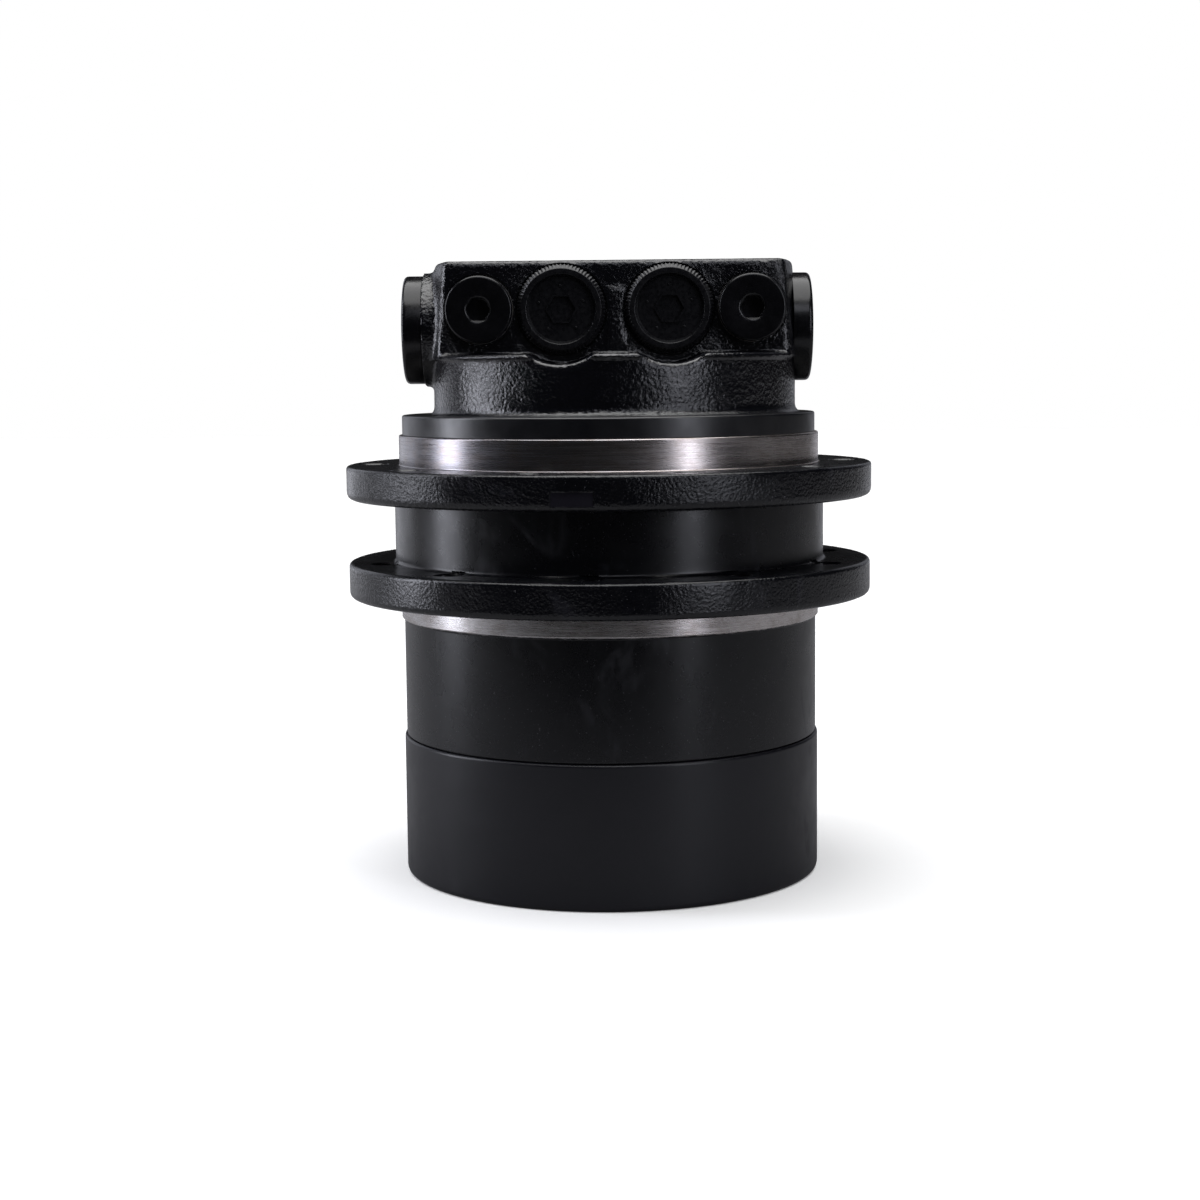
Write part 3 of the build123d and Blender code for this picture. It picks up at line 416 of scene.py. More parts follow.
def casing_paint():
    """Thick glossy black over a rough casting; the foot ring was machined, so paint lies smooth on it."""
    f = Finish("cast_paint", IOR=1.68)
    _, z = f.radius_and_height()
    rough = f.span(z, Z_RING_TOP - 0.1, Z_RING_TOP + 0.7)
    patch = f.span(f.noise(28.0, 2.0), 0.40, 0.62, 0.55, 1.0)
    coarse = f.span(z, Z_LEDGE - 1.0, Z_LEDGE + 2.0, 1.0, 1.35)
    skin = f.math("ADD", f.math("MULTIPLY", f.cells(1.5), 0.8), f.noise(0.9, 3.0, 0.6))
    relief = f.math("MULTIPLY", f.math("MULTIPLY", skin, rough), f.math("MULTIPLY", patch, coarse))
    f.feed("Normal", f.bump(f.noise(0.25, 2.0), 0.006, under=f.bump(relief, 0.27)))
    dust = f.span(f.noise(0.7, 2.0), 0.66, 0.74)
    colour = f.tint(dust, (0.0028, 0.0030, 0.0048), (0.012, 0.012, 0.016))
    f.feed("Base Color", colour)
    cloud = f.noise(9.0, 3.0)
    satin = f.span(cloud, 0.3, 0.7, 0.29, 0.36)
    gloss = f.span(cloud, 0.3, 0.7, 0.13, 0.19)
    f.feed("Roughness", f.blend(rough, satin, gloss))
    return f.material


def flange_paint(name, rough_low, rough_high, steel, relief_depth, steel_colours_with_painted_shade):
    """Black paint with a rough cast rim, smooth machined walls and a bare turned spigot.

    rough_low..rough_high is the cast rim's height, steel the bare spigot's; the last argument holds
    the spigot's colours on its left and right, the left one darker as painted shade.
    """
    f = Finish(name, IOR=1.5)
    r, z = f.radius_and_height()
    x, y = f.across()
    ragged = f.math("ADD", z, f.span(f.noise(3.0, 3.0), 0.3, 0.7, -0.15, 0.15))
    bare = f.math("MULTIPLY", f.band(ragged, *steel, 0.12), f.band(r, R_PILOT - 1.5, R_PILOT + 0.6, 0.1))
    rim = f.math("MULTIPLY", f.band(z, rough_low, rough_high, 0.5), f.span(r, R_PILOT + 3.0, R_PILOT + 5.0))
    patch = f.span(f.noise(30.0, 2.0), 0.36, 0.6, 0.45, 1.0)
    skin = f.math("ADD", f.math("MULTIPLY", f.cells(1.25), 0.8), f.noise(0.75, 3.0, 0.6))
    window = f.math("MULTIPLY", f.band(x, *NOTCH_X, 0.5), f.span(y, NOTCH_Y, NOTCH_Y - 1.0))
    window = f.math("MULTIPLY", window, f.band(z, NOTCH_Z[0] + 0.2, NOTCH_Z[1] - 0.2, 0.4))
    cast = f.math("MULTIPLY", f.math("MULTIPLY", skin, rim), f.blend(window, patch, 0.15))
    lines = f.noise(0.55, 2.0, 0.5, stretch=(0.02, 0.02, 1.0))
    turning = f.bump(f.math("MULTIPLY", lines, bare), 0.008)
    f.feed("Normal", f.bump(f.noise(0.25, 2.0), 0.004, under=f.bump(cast, relief_depth, under=turning)))
    smudge = smudges(f)
    paint = f.tint(f.span(f.noise(0.8, 2.0), 0.68, 0.73), (0.0025, 0.0027, 0.0042), (0.06, 0.06, 0.065))
    paint = f.tint(f.math("MULTIPLY", smudge, 0.9), paint, (0.013, 0.013, 0.017))
    # painted highlight: the notch window's floor is painted lighter than the paint around it
    paint = f.tint(window, paint, (0.016, 0.015, 0.021))
    stain = f.span(f.noise(9.0, 4.0, 0.7, stretch=(1, 1, 2.0)), 0.40, 0.70)
    # painted shade: the spigot's steel is painted darker on its left than on its right, blended across x =
    # -30..30 mm
    painted_shade_across = f.span(x, -30.0, 30.0)
    steel_with_painted_shade = f.tint(painted_shade_across, *steel_colours_with_painted_shade)
    steel_colour = f.tint(f.math("MULTIPLY", stain, 0.45), steel_with_painted_shade, (0.30, 0.24, 0.20))
    f.feed("Base Color", f.tint(bare, paint, steel_colour))
    f.feed("Metallic", bare)
    satin = f.span(f.noise(11.0, 3.0), 0.3, 0.7, 0.26, 0.31)
    satin = f.math("ADD", satin, f.math("MULTIPLY", smudge, 0.16))
    brushed = f.span(lines, 0.3, 0.7, 0.24, 0.30)
    gloss = f.span(f.noise(6.0, 3.0), 0.3, 0.7, 0.15, 0.22)
    f.feed("Roughness", f.blend(bare, f.blend(rim, satin, gloss), brushed))
    return f.material


def smudges(f):
    """Dull hand marks in the paint of the barrel."""
    marks = f.span(f.noise(24.0, 4.0, 0.62, stretch=(1, 1, 0.8), distortion=0.8), 0.54, 0.68)
    streaks = f.span(f.noise(5.0, 3.0, 0.6, stretch=(1, 1, 0.35)), 0.40, 0.62)
    return f.math("MULTIPLY", marks, streaks)


def barrel_paint():
    """Satin black on smooth turned walls, with faint turning marks under the paint."""
    f = Finish("smooth_paint", IOR=1.5)
    lines = f.noise(0.8, 2.0, 0.5, stretch=(0.02, 0.02, 1.0))
    f.feed("Normal", f.bump(f.noise(0.3, 2.0), 0.003, under=f.bump(lines, 0.004)))
    smudge = smudges(f)
    paint = f.tint(f.span(f.noise(0.8, 2.0), 0.73, 0.79), (0.0058, 0.0058, 0.0090), (0.03, 0.03, 0.036))
    paint = f.tint(f.math("MULTIPLY", smudge, 0.2), paint, (0.011, 0.011, 0.014))
    f.feed("Base Color", paint)
    satin = f.span(f.noise(11.0, 3.0), 0.3, 0.7, 0.32, 0.38)
    f.feed("Roughness", f.math("ADD", satin, f.math("MULTIPLY", smudge, 0.08)))
    return f.material


def black_oxide():
    f = Finish("black_oxide", IOR=1.45)
    f.feed("Normal", f.bump(f.noise(0.35, 3.0), 0.003))
    cloud = f.span(f.noise(5.0, 3.0), 0.35, 0.65)
    f.feed("Base Color", f.tint(cloud, (0.0024, 0.0025, 0.0034), (0.0038, 0.0038, 0.0050)))
    f.feed("Roughness", f.span(f.noise(2.0, 3.0), 0.3, 0.7, 0.20, 0.27))
    return f.material


def transport_plastic():
    f = Finish("transport_plastic", IOR=1.46)
    f.feed("Normal", f.bump(f.noise(0.4, 3.0, 0.6), 0.012, under=f.bump(f.noise(3.0, 2.0), 0.05)))
    dusty = f.span(f.noise(1.5, 4.0, 0.65), 0.5, 0.75)
    f.feed("Base Color", f.tint(dusty, (0.0045, 0.0045, 0.0060), (0.010, 0.010, 0.012)))
    f.feed("Roughness", f.span(f.noise(1.2, 3.0), 0.3, 0.7, 0.24, 0.38))
    return f.material


def metal(name, colour, dark, roughness, stretch=(1, 1, 1)):
    """Bare metal with grain and slight staining."""
    f = Finish(name, Metallic=1.0)
    lines = f.noise(0.8, 3.0, 0.55, stretch=stretch)
    f.feed("Normal", f.bump(lines, 0.012))
    f.feed("Base Color", f.tint(f.span(f.noise(6.0, 4.0), 0.4, 0.7), colour, dark))
    f.feed("Roughness", f.span(lines, 0.3, 0.7, roughness - 0.06, roughness + 0.10))
    return f.material


def matt(name, colour, dusty, roughness):
    """Rubber, or the brake's friction lining."""
    f = Finish(name)
    f.feed("Normal", f.bump(f.noise(0.5, 4.0), 0.03))
    f.feed("Base Color", f.tint(f.span(f.noise(1.2, 4.0), 0.45, 0.7), colour, dusty))
    f.feed("Roughness", f.span(f.noise(2.0), 0.3, 0.7, roughness - 0.08, roughness + 0.08))
    return f.material


def slot_materials():
    across = (0.03, 0.03, 1.0)
    return {
        "cast_paint": casing_paint(),
        "smooth_paint": barrel_paint(),
        "black_oxide": black_oxide(),
        "transport_plastic": transport_plastic(),
        "gear_steel": metal("gear_steel", (0.42, 0.42, 0.43), (0.30, 0.30, 0.31), 0.32),
        "bearing_steel": metal("bearing_steel", (0.60, 0.60, 0.62), (0.48, 0.48, 0.50), 0.16),
        "bronze": metal("bronze", (0.55, 0.36, 0.17), (0.38, 0.24, 0.11), 0.34),
        "spring_steel": metal("spring_steel", (0.30, 0.31, 0.33), (0.18, 0.18, 0.20), 0.30),
        "turned_steel": metal("turned_steel", (0.52, 0.51, 0.50), (0.36, 0.32, 0.27), 0.30, stretch=across),
        "seal_rubber": matt("seal_rubber", (0.012, 0.012, 0.012), (0.03, 0.03, 0.03), 0.62),
        "friction_lining": matt("friction_lining", (0.10, 0.075, 0.05), (0.05, 0.04, 0.03), 0.80),
    }


# ================================================================================================
# Turned pieces
# ================================================================================================
def hub():
    """Rotating hub with its sprocket flange, sprocket spigot and tapped holes."""
    piece = make("hub_body", turned([
        (74.7, 48.0), (77.95, 48.0, 0.3), (77.95, Z_SEAM), (R_BARREL, Z_SEAM, 0.8),
        (R_BARREL, Z_SPROCKET_PILOT - 1.0, 0.4), (R_PILOT, Z_SPROCKET_PILOT, 0.3),
        (R_PILOT, Z_SPROCKET_SEAT, 0.4), (R_SPROCKET_FLANGE, Z_SPROCKET_SEAT, 2.6),
        (R_SPROCKET_FLANGE, Z_SPROCKET_TOP, 1.8), (R_HUB, Z_SPROCKET_TOP, 1.6),
        (R_HUB, Z_HUB_TOP, 0.8), (74.0, Z_HUB_TOP, 0.5), (74.0, 139.0), (71.5, 137.0), (70.0, 136.0),
        (70.0, 120.0), (66.0, 120.0), (66.0, 114.0), (70.0, 114.0), (70.0, 98.0), (70.6, 97.5),
        (70.6, 84.5), (74.7, 84.5)]))
    circle, radius, first = SPROCKET_HOLES
    hole = drill(radius, Z_SPROCKET_SEAT, Z_SPROCKET_TOP, 0.6, 0.6)
    combine(piece, on_circle(hole, circle, bolt_angles(first)))
    return shade(piece)


def ring_tooth_radius(angle):
    """Radius of the internal ring gear's flank at an angle, as a rounded trapezoid wave."""
    phase = (angle * RING_TEETH / (2 * pi)) % 1.0
    share = min(1.0, max(0.0, abs(phase - 0.5) * 4.4 - 0.6))
    return RING_PITCH_R - 1.8 + 4.3 * share


def hub_teeth():
    """Internal teeth of the output stage inside the hub."""
    low, high, outer = Z_SEAM + 0.1, 84.4, 74.9

    def wave(r, angle, z):
        return ring_tooth_radius(angle) if r < 73.0 else r

    return shade(make("hub_ring_teeth", turned([(outer, low), (outer, high), (72.0, high), (72.0, low)],
                                               RING_TEETH * 10, wave)))


def spindle():
    """Fixed body with the frame flange, its bolt holes and the frame spigot."""
    piece = make("spindle_body", turned([
        (17.0, 90.0), (52.0, 90.0, 0.5), (52.0, 97.5), (55.0, 98.0), (55.0, 136.0, 0.5), (59.0, 136.0),
        (59.0, 154.0), (74.0, 154.0), (74.0, Z_FRAME_LOW, 0.5), (R_FRAME_FLANGE, Z_FRAME_LOW, 3.4),
        (R_FRAME_FLANGE, Z_FRAME_SEAT, 1.5), (R_PILOT, Z_FRAME_SEAT, 0.5), (R_PILOT, Z_CASING, 0.8),
        (53.9, Z_CASING), (53.9, 170.4), (51.1, 170.4), (51.1, Z_CASING), (49.5, Z_CASING), (49.5, 157.0),
        (46.0, 157.0), (46.0, 144.0), (44.0, 144.0), (44.0, 118.0), (21.0, 118.0), (21.0, 101.0),
        (13.0, 101.0), (13.0, 98.0), (17.0, 98.0)]))
    circle, radius, first = FRAME_HOLES
    hole = drill(radius, Z_FRAME_LOW, Z_FRAME_SEAT, 0.7, 0.7)
    combine(piece, on_circle(hole, circle, bolt_angles(first)))
    combine(piece, merged([moved(drill(4.0, 154.0, Z_CASING, 0.0, 0.5), at(x, y, 0))
                           for x, y, _ in screw_spots()]))
    combine(piece, moved(rim_notch(), Matrix.Rotation(radians(NOTCH_DEG), 4, "Z")))
    return shade(piece)


def rim_notch():
    """Cast window in the frame flange's rim, with sloping sides."""
    bottom = R_FRAME_FLANGE - NOTCH_DEPTH
    mouth = R_FRAME_FLANGE + 1.0
    wide = NOTCH_HALF + 1.0
    outline = [(bottom, -NOTCH_HALF), (mouth, -wide), (mouth, wide), (bottom, NOTCH_HALF)]
    return prism(outline, *NOTCH_Z)


def end_cover():
    piece = make("end_cover_shell", turned([
        (0, 0), (R_COVER, 0, 2.2), (R_COVER, Z_SEAM - 0.15, 1.2), (78.05, Z_SEAM - 0.15, 0.3),
        (78.05, 12.9), (73.0, 12.9), (71.0, 10.0), (0, 10.0)]))
    circle, angles = COVER_PLUGS
    combine(piece, on_circle(drill(11.5, -1.0, 1.6), circle, angles))
    combine(piece, on_circle(plain_disc(7.05, -1.0, 11.0), circle, angles))
    return shade(piece)


# ================================================================================================
# Screwed pieces
# ================================================================================================
def screwed_head(name, corners, hexes, place, sockets_from, mouth=None, segments=SEAT_ROUND,
                 wave=None):
    """Turned head with hexagon sockets: hexes are (across flats, depth), measured from its face."""
    piece = make(name, moved(turned(corners, segments, wave), place))
    for across, depth in hexes:
        combine(piece, moved(hexagon(across, sockets_from - depth, sockets_from + 1), place))
    if mouth:
        combine(piece, moved(turned(mouth, 64), place))
    return shade(piece)


def countersink(face, top_radius, depth):
    """Cone that opens a socket's mouth."""
    past = 0.5
    return [(0, face + past), (top_radius + past, face + past), (top_radius - depth, face - depth),
            (0, face - depth)]


def valve_cap(name, painted_shade_across):
    height = CAP_FACE_X - CAP_SEAT_X
    corners = [(0, -3.5), (7.0, -3.5), (7.0, -14.4), (8.7, -14.4, 0.4), (8.7, 0.0),
               (CAP_R, 0.0, 0.4), (CAP_R, height, 1.9), (0, height)]
    return screwed_head(name, corners, [(12.0, 7.0)], along_x(painted_shade_across * CAP_SEAT_X, 0, SPOOL_Z, painted_shade_across), height,
                        countersink(height, 7.3, 0.9))


def drain_plug(name, x):
    corners = [(0, -11.0), (6.5, -11.0, 0.8), (6.5, 0.0), (12.75, 0.0, 0.3), (12.75, 5.4, 1.1), (0, 5.4)]
    place = along_y(x, PORT_FACE_Y - 0.6, PORT_Z)
    piece = screwed_head(name, corners, [(8.0, 3.6)], place, 5.4, countersink(5.4, 5.4, 0.7))
    combine(piece, moved(turned([(0, -0.3), (4.0, 1.9), (4.0, 2.4), (0, 2.4)], 64), place))
    return shade(piece)


def port_plug(name, x):
    """Transport plug: serrated rim, recessed cup with moulded dots, and a hexagon with a thin lip."""
    teeth = 72

    def serrated(r, angle, z):
        depth = 0.45 if r > 16.0 and 0.0 < z < 4.4 else 0.0
        return r - depth * (0.5 - 0.5 * cos(teeth * angle)) ** 0.8

    corners = [(0, -11.0), (9.5, -11.0, 0.9), (9.5, 0.0), (17.0, 0.0, 0.25), (17.0, 3.0, 0.3),
               (15.2, 5.0, 0.4), (13.2, 5.0, 0.5), (12.2, 2.6), (0, 2.6)]
    place = along_y(x, PORT_FACE_Y + 1.2, PORT_Z)
    piece = screwed_head(name, corners, [], place, 5.0, segments=teeth * 8, wave=serrated)
    combine(piece, moved(hexagon(10.6, 2.0, 3.4), place), "UNION")
    combine(piece, moved(hexagon(9.4, 1.9, 6.0), place))
    dot = turned([(0, 2.2), (0.55, 2.2), (0.55, 2.95, 0.25), (0, 2.95)], 24)
    combine(piece, moved(on_circle(dot, 8.9, bolt_angles(20.0, 5)), place), "UNION")
    return shade(piece)


def screw_spots():
    """(x, y, seat height) of the casing's screws."""
    return [(*polar(SCREW_CIRCLE, a), seat) for angles, seat in (BACK_SCREWS, FRONT_SCREWS) for a in angles]


def casing_screws():
    pieces = []
    for i, (x, y, seat) in enumerate(screw_spots()):
        tail = 154.0 - seat
        corners = [(0, tail), (4.0, tail, 0.4), (4.0, 0.0), (6.5, 0.0, 0.2), (6.5, 8.0, 0.8), (0, 8.0)]
        pieces.append(screwed_head(f"casing_screw_{i + 1}", corners, [(6.0, 4.0)], at(x, y, seat), 8.0,
                                   countersink(8.0, 3.7, 0.5), 64))
    return pieces


def cover_plugs():
    circle, angles = COVER_PLUGS
    pieces = []
    for name, angle in zip(("cover_plug_left", "cover_plug_right"), angles):
        corners = [(0, -9.0), (7.0, -9.0), (7.0, -1.2), (10.6, -1.2), (10.6, 0.0, 0.3), (0, 0.0)]
        place = at(*polar(circle, angle), 0.35) @ Matrix.Rotation(pi, 4, "X")
        pieces.append(screwed_head(name, corners, [(6.0, 4.0)], place, 0.0, segments=96))
    return pieces


# ================================================================================================
# Valve casing
# ================================================================================================
def smooth_max(a, b, k):
    """Intersection of two distance fields with a rounded edge about k wide."""
    return np.maximum(a, b) + np.maximum(k - np.abs(a - b), 0.0) ** 2 / (4 * k)


def smooth_min(a, b, k):
    return -smooth_max(-a, -b, k)


def cast_distance(p):
    """Distance in millimetres from the casting's skin, negative inside."""
    x, y, z = p.T
    r = np.hypot(x - CASING_SHIFT, y)
    taper = (R_BLOCK_LOW - R_BLOCK_HIGH) / (Z_TOP - Z_LEDGE)
    neck = np.maximum(r - R_NECK, z - (Z_LEDGE + 8.0))
    block = smooth_max(r - R_BLOCK_LOW + taper * (z - Z_LEDGE), z - Z_TOP, CAST_ROUNDING)
    block = smooth_max(block, Z_BLOCK_LOW - z, 0.8)
    body = smooth_min(neck, block, 0.8)
    foot = np.maximum(np.hypot(x, y) - R_CAST_FOOT, z - Z_RING_TOP + 0.05)
    body = smooth_min(body, foot, FLARE)
    boss = np.maximum(np.hypot(y, z - SPOOL_Z) - R_BOSS, -CAP_SEAT_X - x)
    boss = np.maximum(boss, x + 40.0)
    body = smooth_min(body, boss, 2.4)
    front = smooth_max(y - PORT_FACE_Y, Z_LEDGE - z, 1.0)
    for port_x in PORT_XS:
        scallop = np.maximum(np.hypot(x - port_x, z - PORT_Z) - R_SCALLOP, y - PORT_FACE_Y)
        front = smooth_min(front, scallop, 0.8)
    body = smooth_max(body, -front, CAST_ROUNDING)
    rib = np.maximum(np.abs(x - SPOOL_X) - 2.6, PORT_FACE_Y - 0.4 - y)
    rib = smooth_max(rib, np.abs(z - PORT_Z + 2.5) - 10.0, 2.0)
    body = smooth_min(body, rib, 2.2)
    return np.maximum(body, Z_CASING + 1.0 - z)


def settle(p, field, rounds=6, step=0.02):
    """Moves points onto a field's zero surface along its slope."""
    offsets = np.eye(3) * step
    for _ in range(rounds):
        value = field(p)
        slope = np.stack([field(p + o) - field(p - o) for o in offsets], axis=1) / (2 * step)
        steepness = np.maximum((slope ** 2).sum(axis=1), 0.2)
        p = p - slope * np.clip(value / steepness, -1.0, 1.0)[:, None]
    return p, slope / np.sqrt(steepness)[:, None]


def skin_height(point):
    """Height of the cast skin at a point: fine waves whose strength drifts over the surface."""
    fine = noise.noise(point / SKIN_WAVE) + 0.5 * noise.noise(point / SKIN_WAVE * 2.1)
    drift = 0.55 + 0.45 * noise.noise(point / 26.0)
    return SKIN_RELIEF * fine * drift - 0.12


def cast_blank():
    """Casting: a rough solid, voxel remeshed, settled on its rounded shape and given its cast skin."""
    piece = make("valve_casing_body", moved(turned([
        (0, Z_CASING + 1.0), (R_NECK, Z_CASING + 1.0), (R_NECK, Z_BLOCK_LOW),
        (R_BLOCK_LOW, Z_BLOCK_LOW), (R_BLOCK_HIGH, Z_TOP), (0, Z_TOP)], SMALL_ROUND),
        at(CASING_SHIFT, 0, 0)))
    boss = moved(plain_disc(R_BOSS, -31.0, 0.0), along_x(-CAP_SEAT_X, 0, SPOOL_Z, -1))
    combine(piece, boss, "UNION")
    combine(piece, plain_disc(R_CAST_FOOT, Z_CASING + 1.0, Z_RING_TOP - 0.05), "UNION")
    combine(piece, box((-120, -120, Z_LEDGE), (120, PORT_FACE_Y, Z_TOP + 10)))
    for port_x in PORT_XS:
        combine(piece, moved(plain_disc(R_SCALLOP, 0.0, 60.0), along_y(port_x, PORT_FACE_Y, PORT_Z)))
    remesh = piece.modifiers.new("remesh", "REMESH")
    remesh.mode = "VOXEL"
    remesh.voxel_size = VOXEL * MM
    apply_modifiers(piece)
    skin, normals = settle(places(piece.data) / MM, cast_distance)
    loose = skin[:, 2] > Z_RING_TOP + 0.2
    height = np.array([skin_height(Vector(p)) for p in skin]) * loose
    skin = skin + normals * height[:, None]
    piece.data.vertices.foreach_set("co", (skin * MM).ravel())
    piece.data.update()
    return piece


def valve_casing():
    """The casting with its machined foot, seats, bores and counterbores."""
    piece = cast_blank()
    combine(piece, turned([(0, Z_CASING), (R_FOOT_RING, Z_CASING, 0.3), (R_FOOT_RING, Z_RING_TOP, 0.9),
                           (0, Z_RING_TOP)]), "UNION")
    cuts = [moved(drill(17.6, -1.2, 6.0, segments=SEAT_ROUND), along_y(x, PORT_FACE_Y, PORT_Z))
            for x in PORT_XS]
    cuts += [moved(drill(13.8, 0.2, 6.0, segments=SEAT_ROUND), along_y(x, PORT_FACE_Y, PORT_Z))
             for x in DRAIN_XS]
    combine(piece, merged(cuts))
    cuts = [moved(plain_disc(9.6, -20.0, 6.0), along_y(x, PORT_FACE_Y, PORT_Z)) for x in PORT_XS]
    cuts += [moved(plain_disc(6.6, -12.0, 6.0), along_y(x, PORT_FACE_Y, PORT_Z)) for x in DRAIN_XS]
    combine(piece, merged(cuts))
    for painted_shade_across in (-1, 1):
        seat = turned([(0, 0), (21.8, 0), (21.8, 12.0), (0, 12.0)], SEAT_ROUND)
        combine(piece, moved(seat, along_x(painted_shade_across * CAP_SEAT_X, 0, SPOOL_Z, painted_shade_across)))
        bore = turned([(0, -38.0), (8.6, -38.0), (8.6, -15.5), (8.75, -15.5), (8.75, 1.0), (0, 1.0)])
        combine(piece, moved(bore, along_x(painted_shade_across * CAP_SEAT_X, 0, SPOOL_Z, painted_shade_across)))
    combine(piece, moved(plain_disc(8.05, -60.0, 60.0), along_x(0, 0, SPOOL_Z, 1)))
    heads = [moved(drill(7.0, seat, 260.0), at(x, y, 1.0)) for x, y, seat in screw_spots()]
    combine(piece, merged(heads))
    below = [moved(plain_disc(4.3, Z_CASING - 1, seat + 1.5), at(x, y, 0))
             for x, y, seat in screw_spots()]
    below.append(turned([(0, Z_CASING - 1), (21.0, Z_CASING - 1), (21.0, 187.0), (14.0, 187.0),
                         (14.0, 190.0), (0, 190.0)]))
    combine(piece, merged(below))
    return shade(piece, 48)


# ================================================================================================
# Putting it together
# ================================================================================================
def dress(pieces, body, slot, material, *nodes):
    """Rides and paints pieces that stand for CAD nodes; the first one replaces them."""
    for piece in pieces:
        piece.data.materials.clear()
        piece.data.materials.append(material)
        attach(piece, body)
    if nodes:
        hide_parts(*nodes)


def dress_cad_nodes(materials):
    """Gives each CAD node that stays its slot's material."""
    slots = {part["node"]: part["material_slot"] for part in frame["record"]["subparts"]}
    for name, node in frame["nodes"].items():
        node.data.materials.clear()
        node.data.materials.append(materials[slots[name]])


def build_object():
    materials = slot_materials()
    dress_cad_nodes(materials)
    # the last pair in each call: the spigot steel's left and right colours, the left one darker as painted
    # shade
    hub_paint = flange_paint("hub_paint", Z_SPROCKET_SEAT, Z_SPROCKET_TOP - 0.6,
                             (Z_SPROCKET_PILOT - 0.4, Z_SPROCKET_SEAT + 0.2), 0.18,
                             ((0.68, 0.66, 0.66), (0.72, 0.68, 0.67)))
    spindle_paint = flange_paint("spindle_paint", Z_FRAME_LOW, Z_FRAME_SEAT - 0.2,
                                 (Z_FRAME_SEAT - 0.1, Z_CASING + 2.0), 0.22,
                                 ((0.30, 0.29, 0.31), (0.60, 0.55, 0.54)))
    case, turning = "motor_case", "rotating_hub"
    dress([valve_casing()], case, "cast_paint", materials["cast_paint"], "valve_casing", "port_block")
    dress([spindle()], case, "cast_paint", spindle_paint, "motor_spindle")
    dress([hub()], turning, "smooth_paint", hub_paint, "hub")
    dress([hub_teeth()], turning, "gear_steel", materials["gear_steel"])
    dress([end_cover()], turning, "smooth_paint", materials["smooth_paint"], "end_cover")
    dress(cover_plugs(), turning, "black_oxide", materials["black_oxide"], "cover_plugs")
    dress(casing_screws(), case, "black_oxide", materials["black_oxide"], "casing_screws")
    for painted_shade_across, name in ((-1, "left"), (1, "right")):
        index = (painted_shade_across + 1) // 2
        dress([valve_cap(f"cap_{name}", painted_shade_across)], case, "black_oxide", materials["black_oxide"],
              f"valve_cap_{name}")
        dress([drain_plug(f"screw_plug_{name}", DRAIN_XS[index])], case, "black_oxide",
              materials["black_oxide"], f"drain_plug_{name}")
        dress([port_plug(f"transport_plug_{name}", PORT_XS[index])], case, "transport_plastic",
              materials["transport_plastic"], f"port_plug_{name}")


# ================================================================================================
# Stage
# ================================================================================================
def floor():
    """Pale rounded table top that the motor stands on."""
    reach = FLOOR_HALF - FLOOR_CORNER
    outline = []
    for cx, cy, first in ((1, 1, 0), (-1, 1, 90), (-1, -1, 180), (1, -1, 270)):
        for step in range(9):
            x, y = polar(FLOOR_CORNER, first + 90 * step / 8)
            outline.append((cx * reach + x, cy * reach + y + FLOOR_SHIFT))
    piece = make("floor", prism(outline, -FLOOR_DEPTH, 0.0))
    finish = Finish("pale_floor", Roughness=0.9, Specular_IOR_Level=0.1)
    seen = finish.add("ShaderNodeLightPath").outputs["Is Camera Ray"]
    pale = finish.tint(finish.noise(40.0), (0.90, 0.90, 0.90), (0.93, 0.93, 0.93))
    finish.feed("Base Color", finish.tint(seen, (0.24, 0.24, 0.25), pale))
    finish.shader.inputs["Emission Color"].default_value = (1.0, 1.0, 1.0, 1.0)
    finish.feed("Emission Strength", finish.math("MULTIPLY", seen, 0.16))
    piece.data.materials.append(finish.material)


def softbox(name, place, target, size, radiance):
    """Rectangular area light of a given brightness, not seen by the camera itself."""
    light = bpy.data.lights.new(name, "AREA")
    light.shape = "RECTANGLE"
    light.size, light.size_y = size
    light.energy = radiance * pi * size[0] * size[1]
    light.color = LIGHT_COLOUR
    lamp = bpy.data.objects.new(name, light)
    lamp.location = place
    lamp.rotation_euler = (Vector(target) - Vector(place)).to_track_quat("-Z", "Y").to_euler()
    lamp.visible_camera = False
    bpy.context.scene.collection.objects.link(lamp)


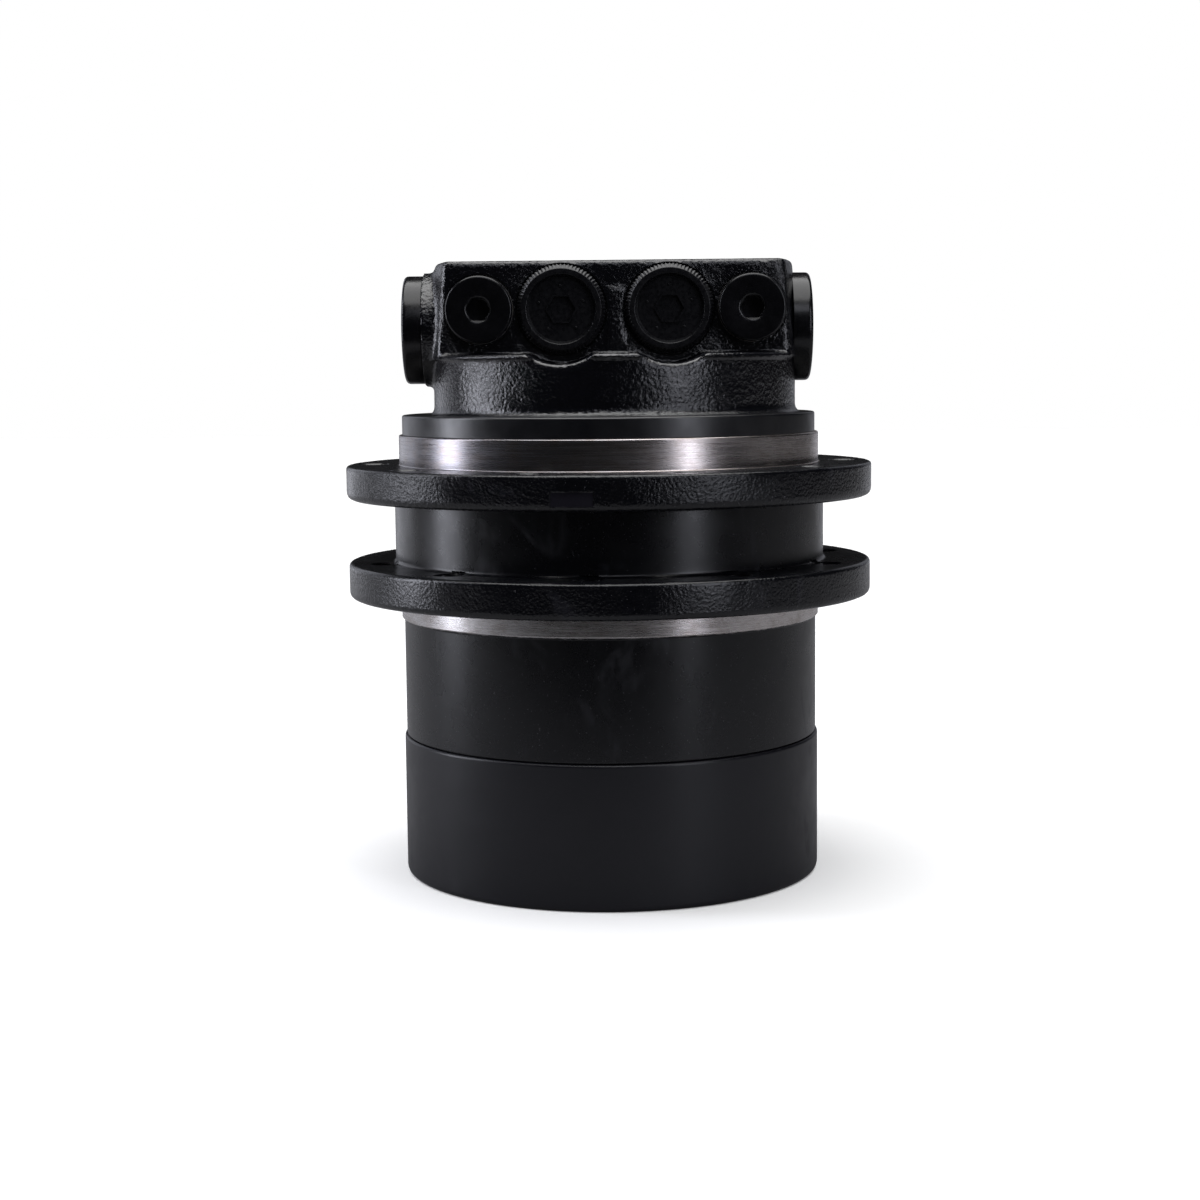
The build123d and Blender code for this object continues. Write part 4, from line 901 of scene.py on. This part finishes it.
def lights():
    softbox("left_panel", (-0.95, 0.02, 0.46), (0.0, 0.0, 0.22), (0.27, 0.90), 6.4)
    softbox("right_panel", (0.80, -0.89, 0.46), (0.0, 0.0, 0.18), (0.24, 0.90), 4.0)
    softbox("back_left_panel", (-0.80, 1.00, 0.40), (0.0, 0.0, 0.15), (0.8, 0.9), 0.7)
    softbox("back_right_panel", (0.60, 1.30, 0.40), (0.0, 0.0, 0.15), (0.5, 0.9), 0.3)
    softbox("front_panel", (0.10, -1.05, 1.05), (0.0, 0.0, 0.20), (0.50, 0.35), 2.2)
    overhead = bpy.data.lights.new("overhead", "SUN")
    overhead.energy = 3.4
    overhead.angle = radians(70)
    lamp = bpy.data.objects.new("overhead", overhead)
    bpy.context.scene.collection.objects.link(lamp)


def world():
    """White to the camera, nearly dark to everything else."""
    sky = bpy.data.worlds.new("studio")
    bpy.context.scene.world = sky
    sky.use_nodes = True
    tree = sky.node_tree
    background = tree.nodes["Background"]
    path = tree.nodes.new("ShaderNodeLightPath")
    level = tree.nodes.new("ShaderNodeMapRange")
    level.inputs["To Min"].default_value = 0.012
    level.inputs["To Max"].default_value = 1.0
    tree.links.new(path.outputs["Is Camera Ray"], level.inputs["Value"])
    tree.links.new(level.outputs["Result"], background.inputs["Strength"])
    background.inputs["Color"].default_value = (1.0, 1.0, 1.0, 1.0)


def camera():
    """Camera in front of the ports, level with the neck and tipped down a little."""
    level = Vector((sin(EYE_YAW), cos(EYE_YAW), 0))
    right = Vector((cos(EYE_YAW), -sin(EYE_YAW), 0))
    forward = level * cos(EYE_PITCH) - Vector((0, 0, sin(EYE_PITCH)))
    up = level * sin(EYE_PITCH) + Vector((0, 0, cos(EYE_PITCH)))
    x_axis = right * cos(EYE_ROLL) - up * sin(EYE_ROLL)
    y_axis = right * sin(EYE_ROLL) + up * cos(EYE_ROLL)
    data = bpy.data.cameras.new("camera")
    data.lens = LENS
    data.sensor_width = 36.0
    eye = bpy.data.objects.new("camera", data)
    basis = Matrix((x_axis, y_axis, -forward)).transposed()
    eye.matrix_world = Matrix.Translation(EYE) @ basis.to_4x4()
    bpy.context.scene.collection.objects.link(eye)
    bpy.context.scene.camera = eye


camera()
world()
lights()
floor()
build_object()
bpy.context.scene.view_settings.view_transform = "Standard"
bpy.context.view_layer.update()
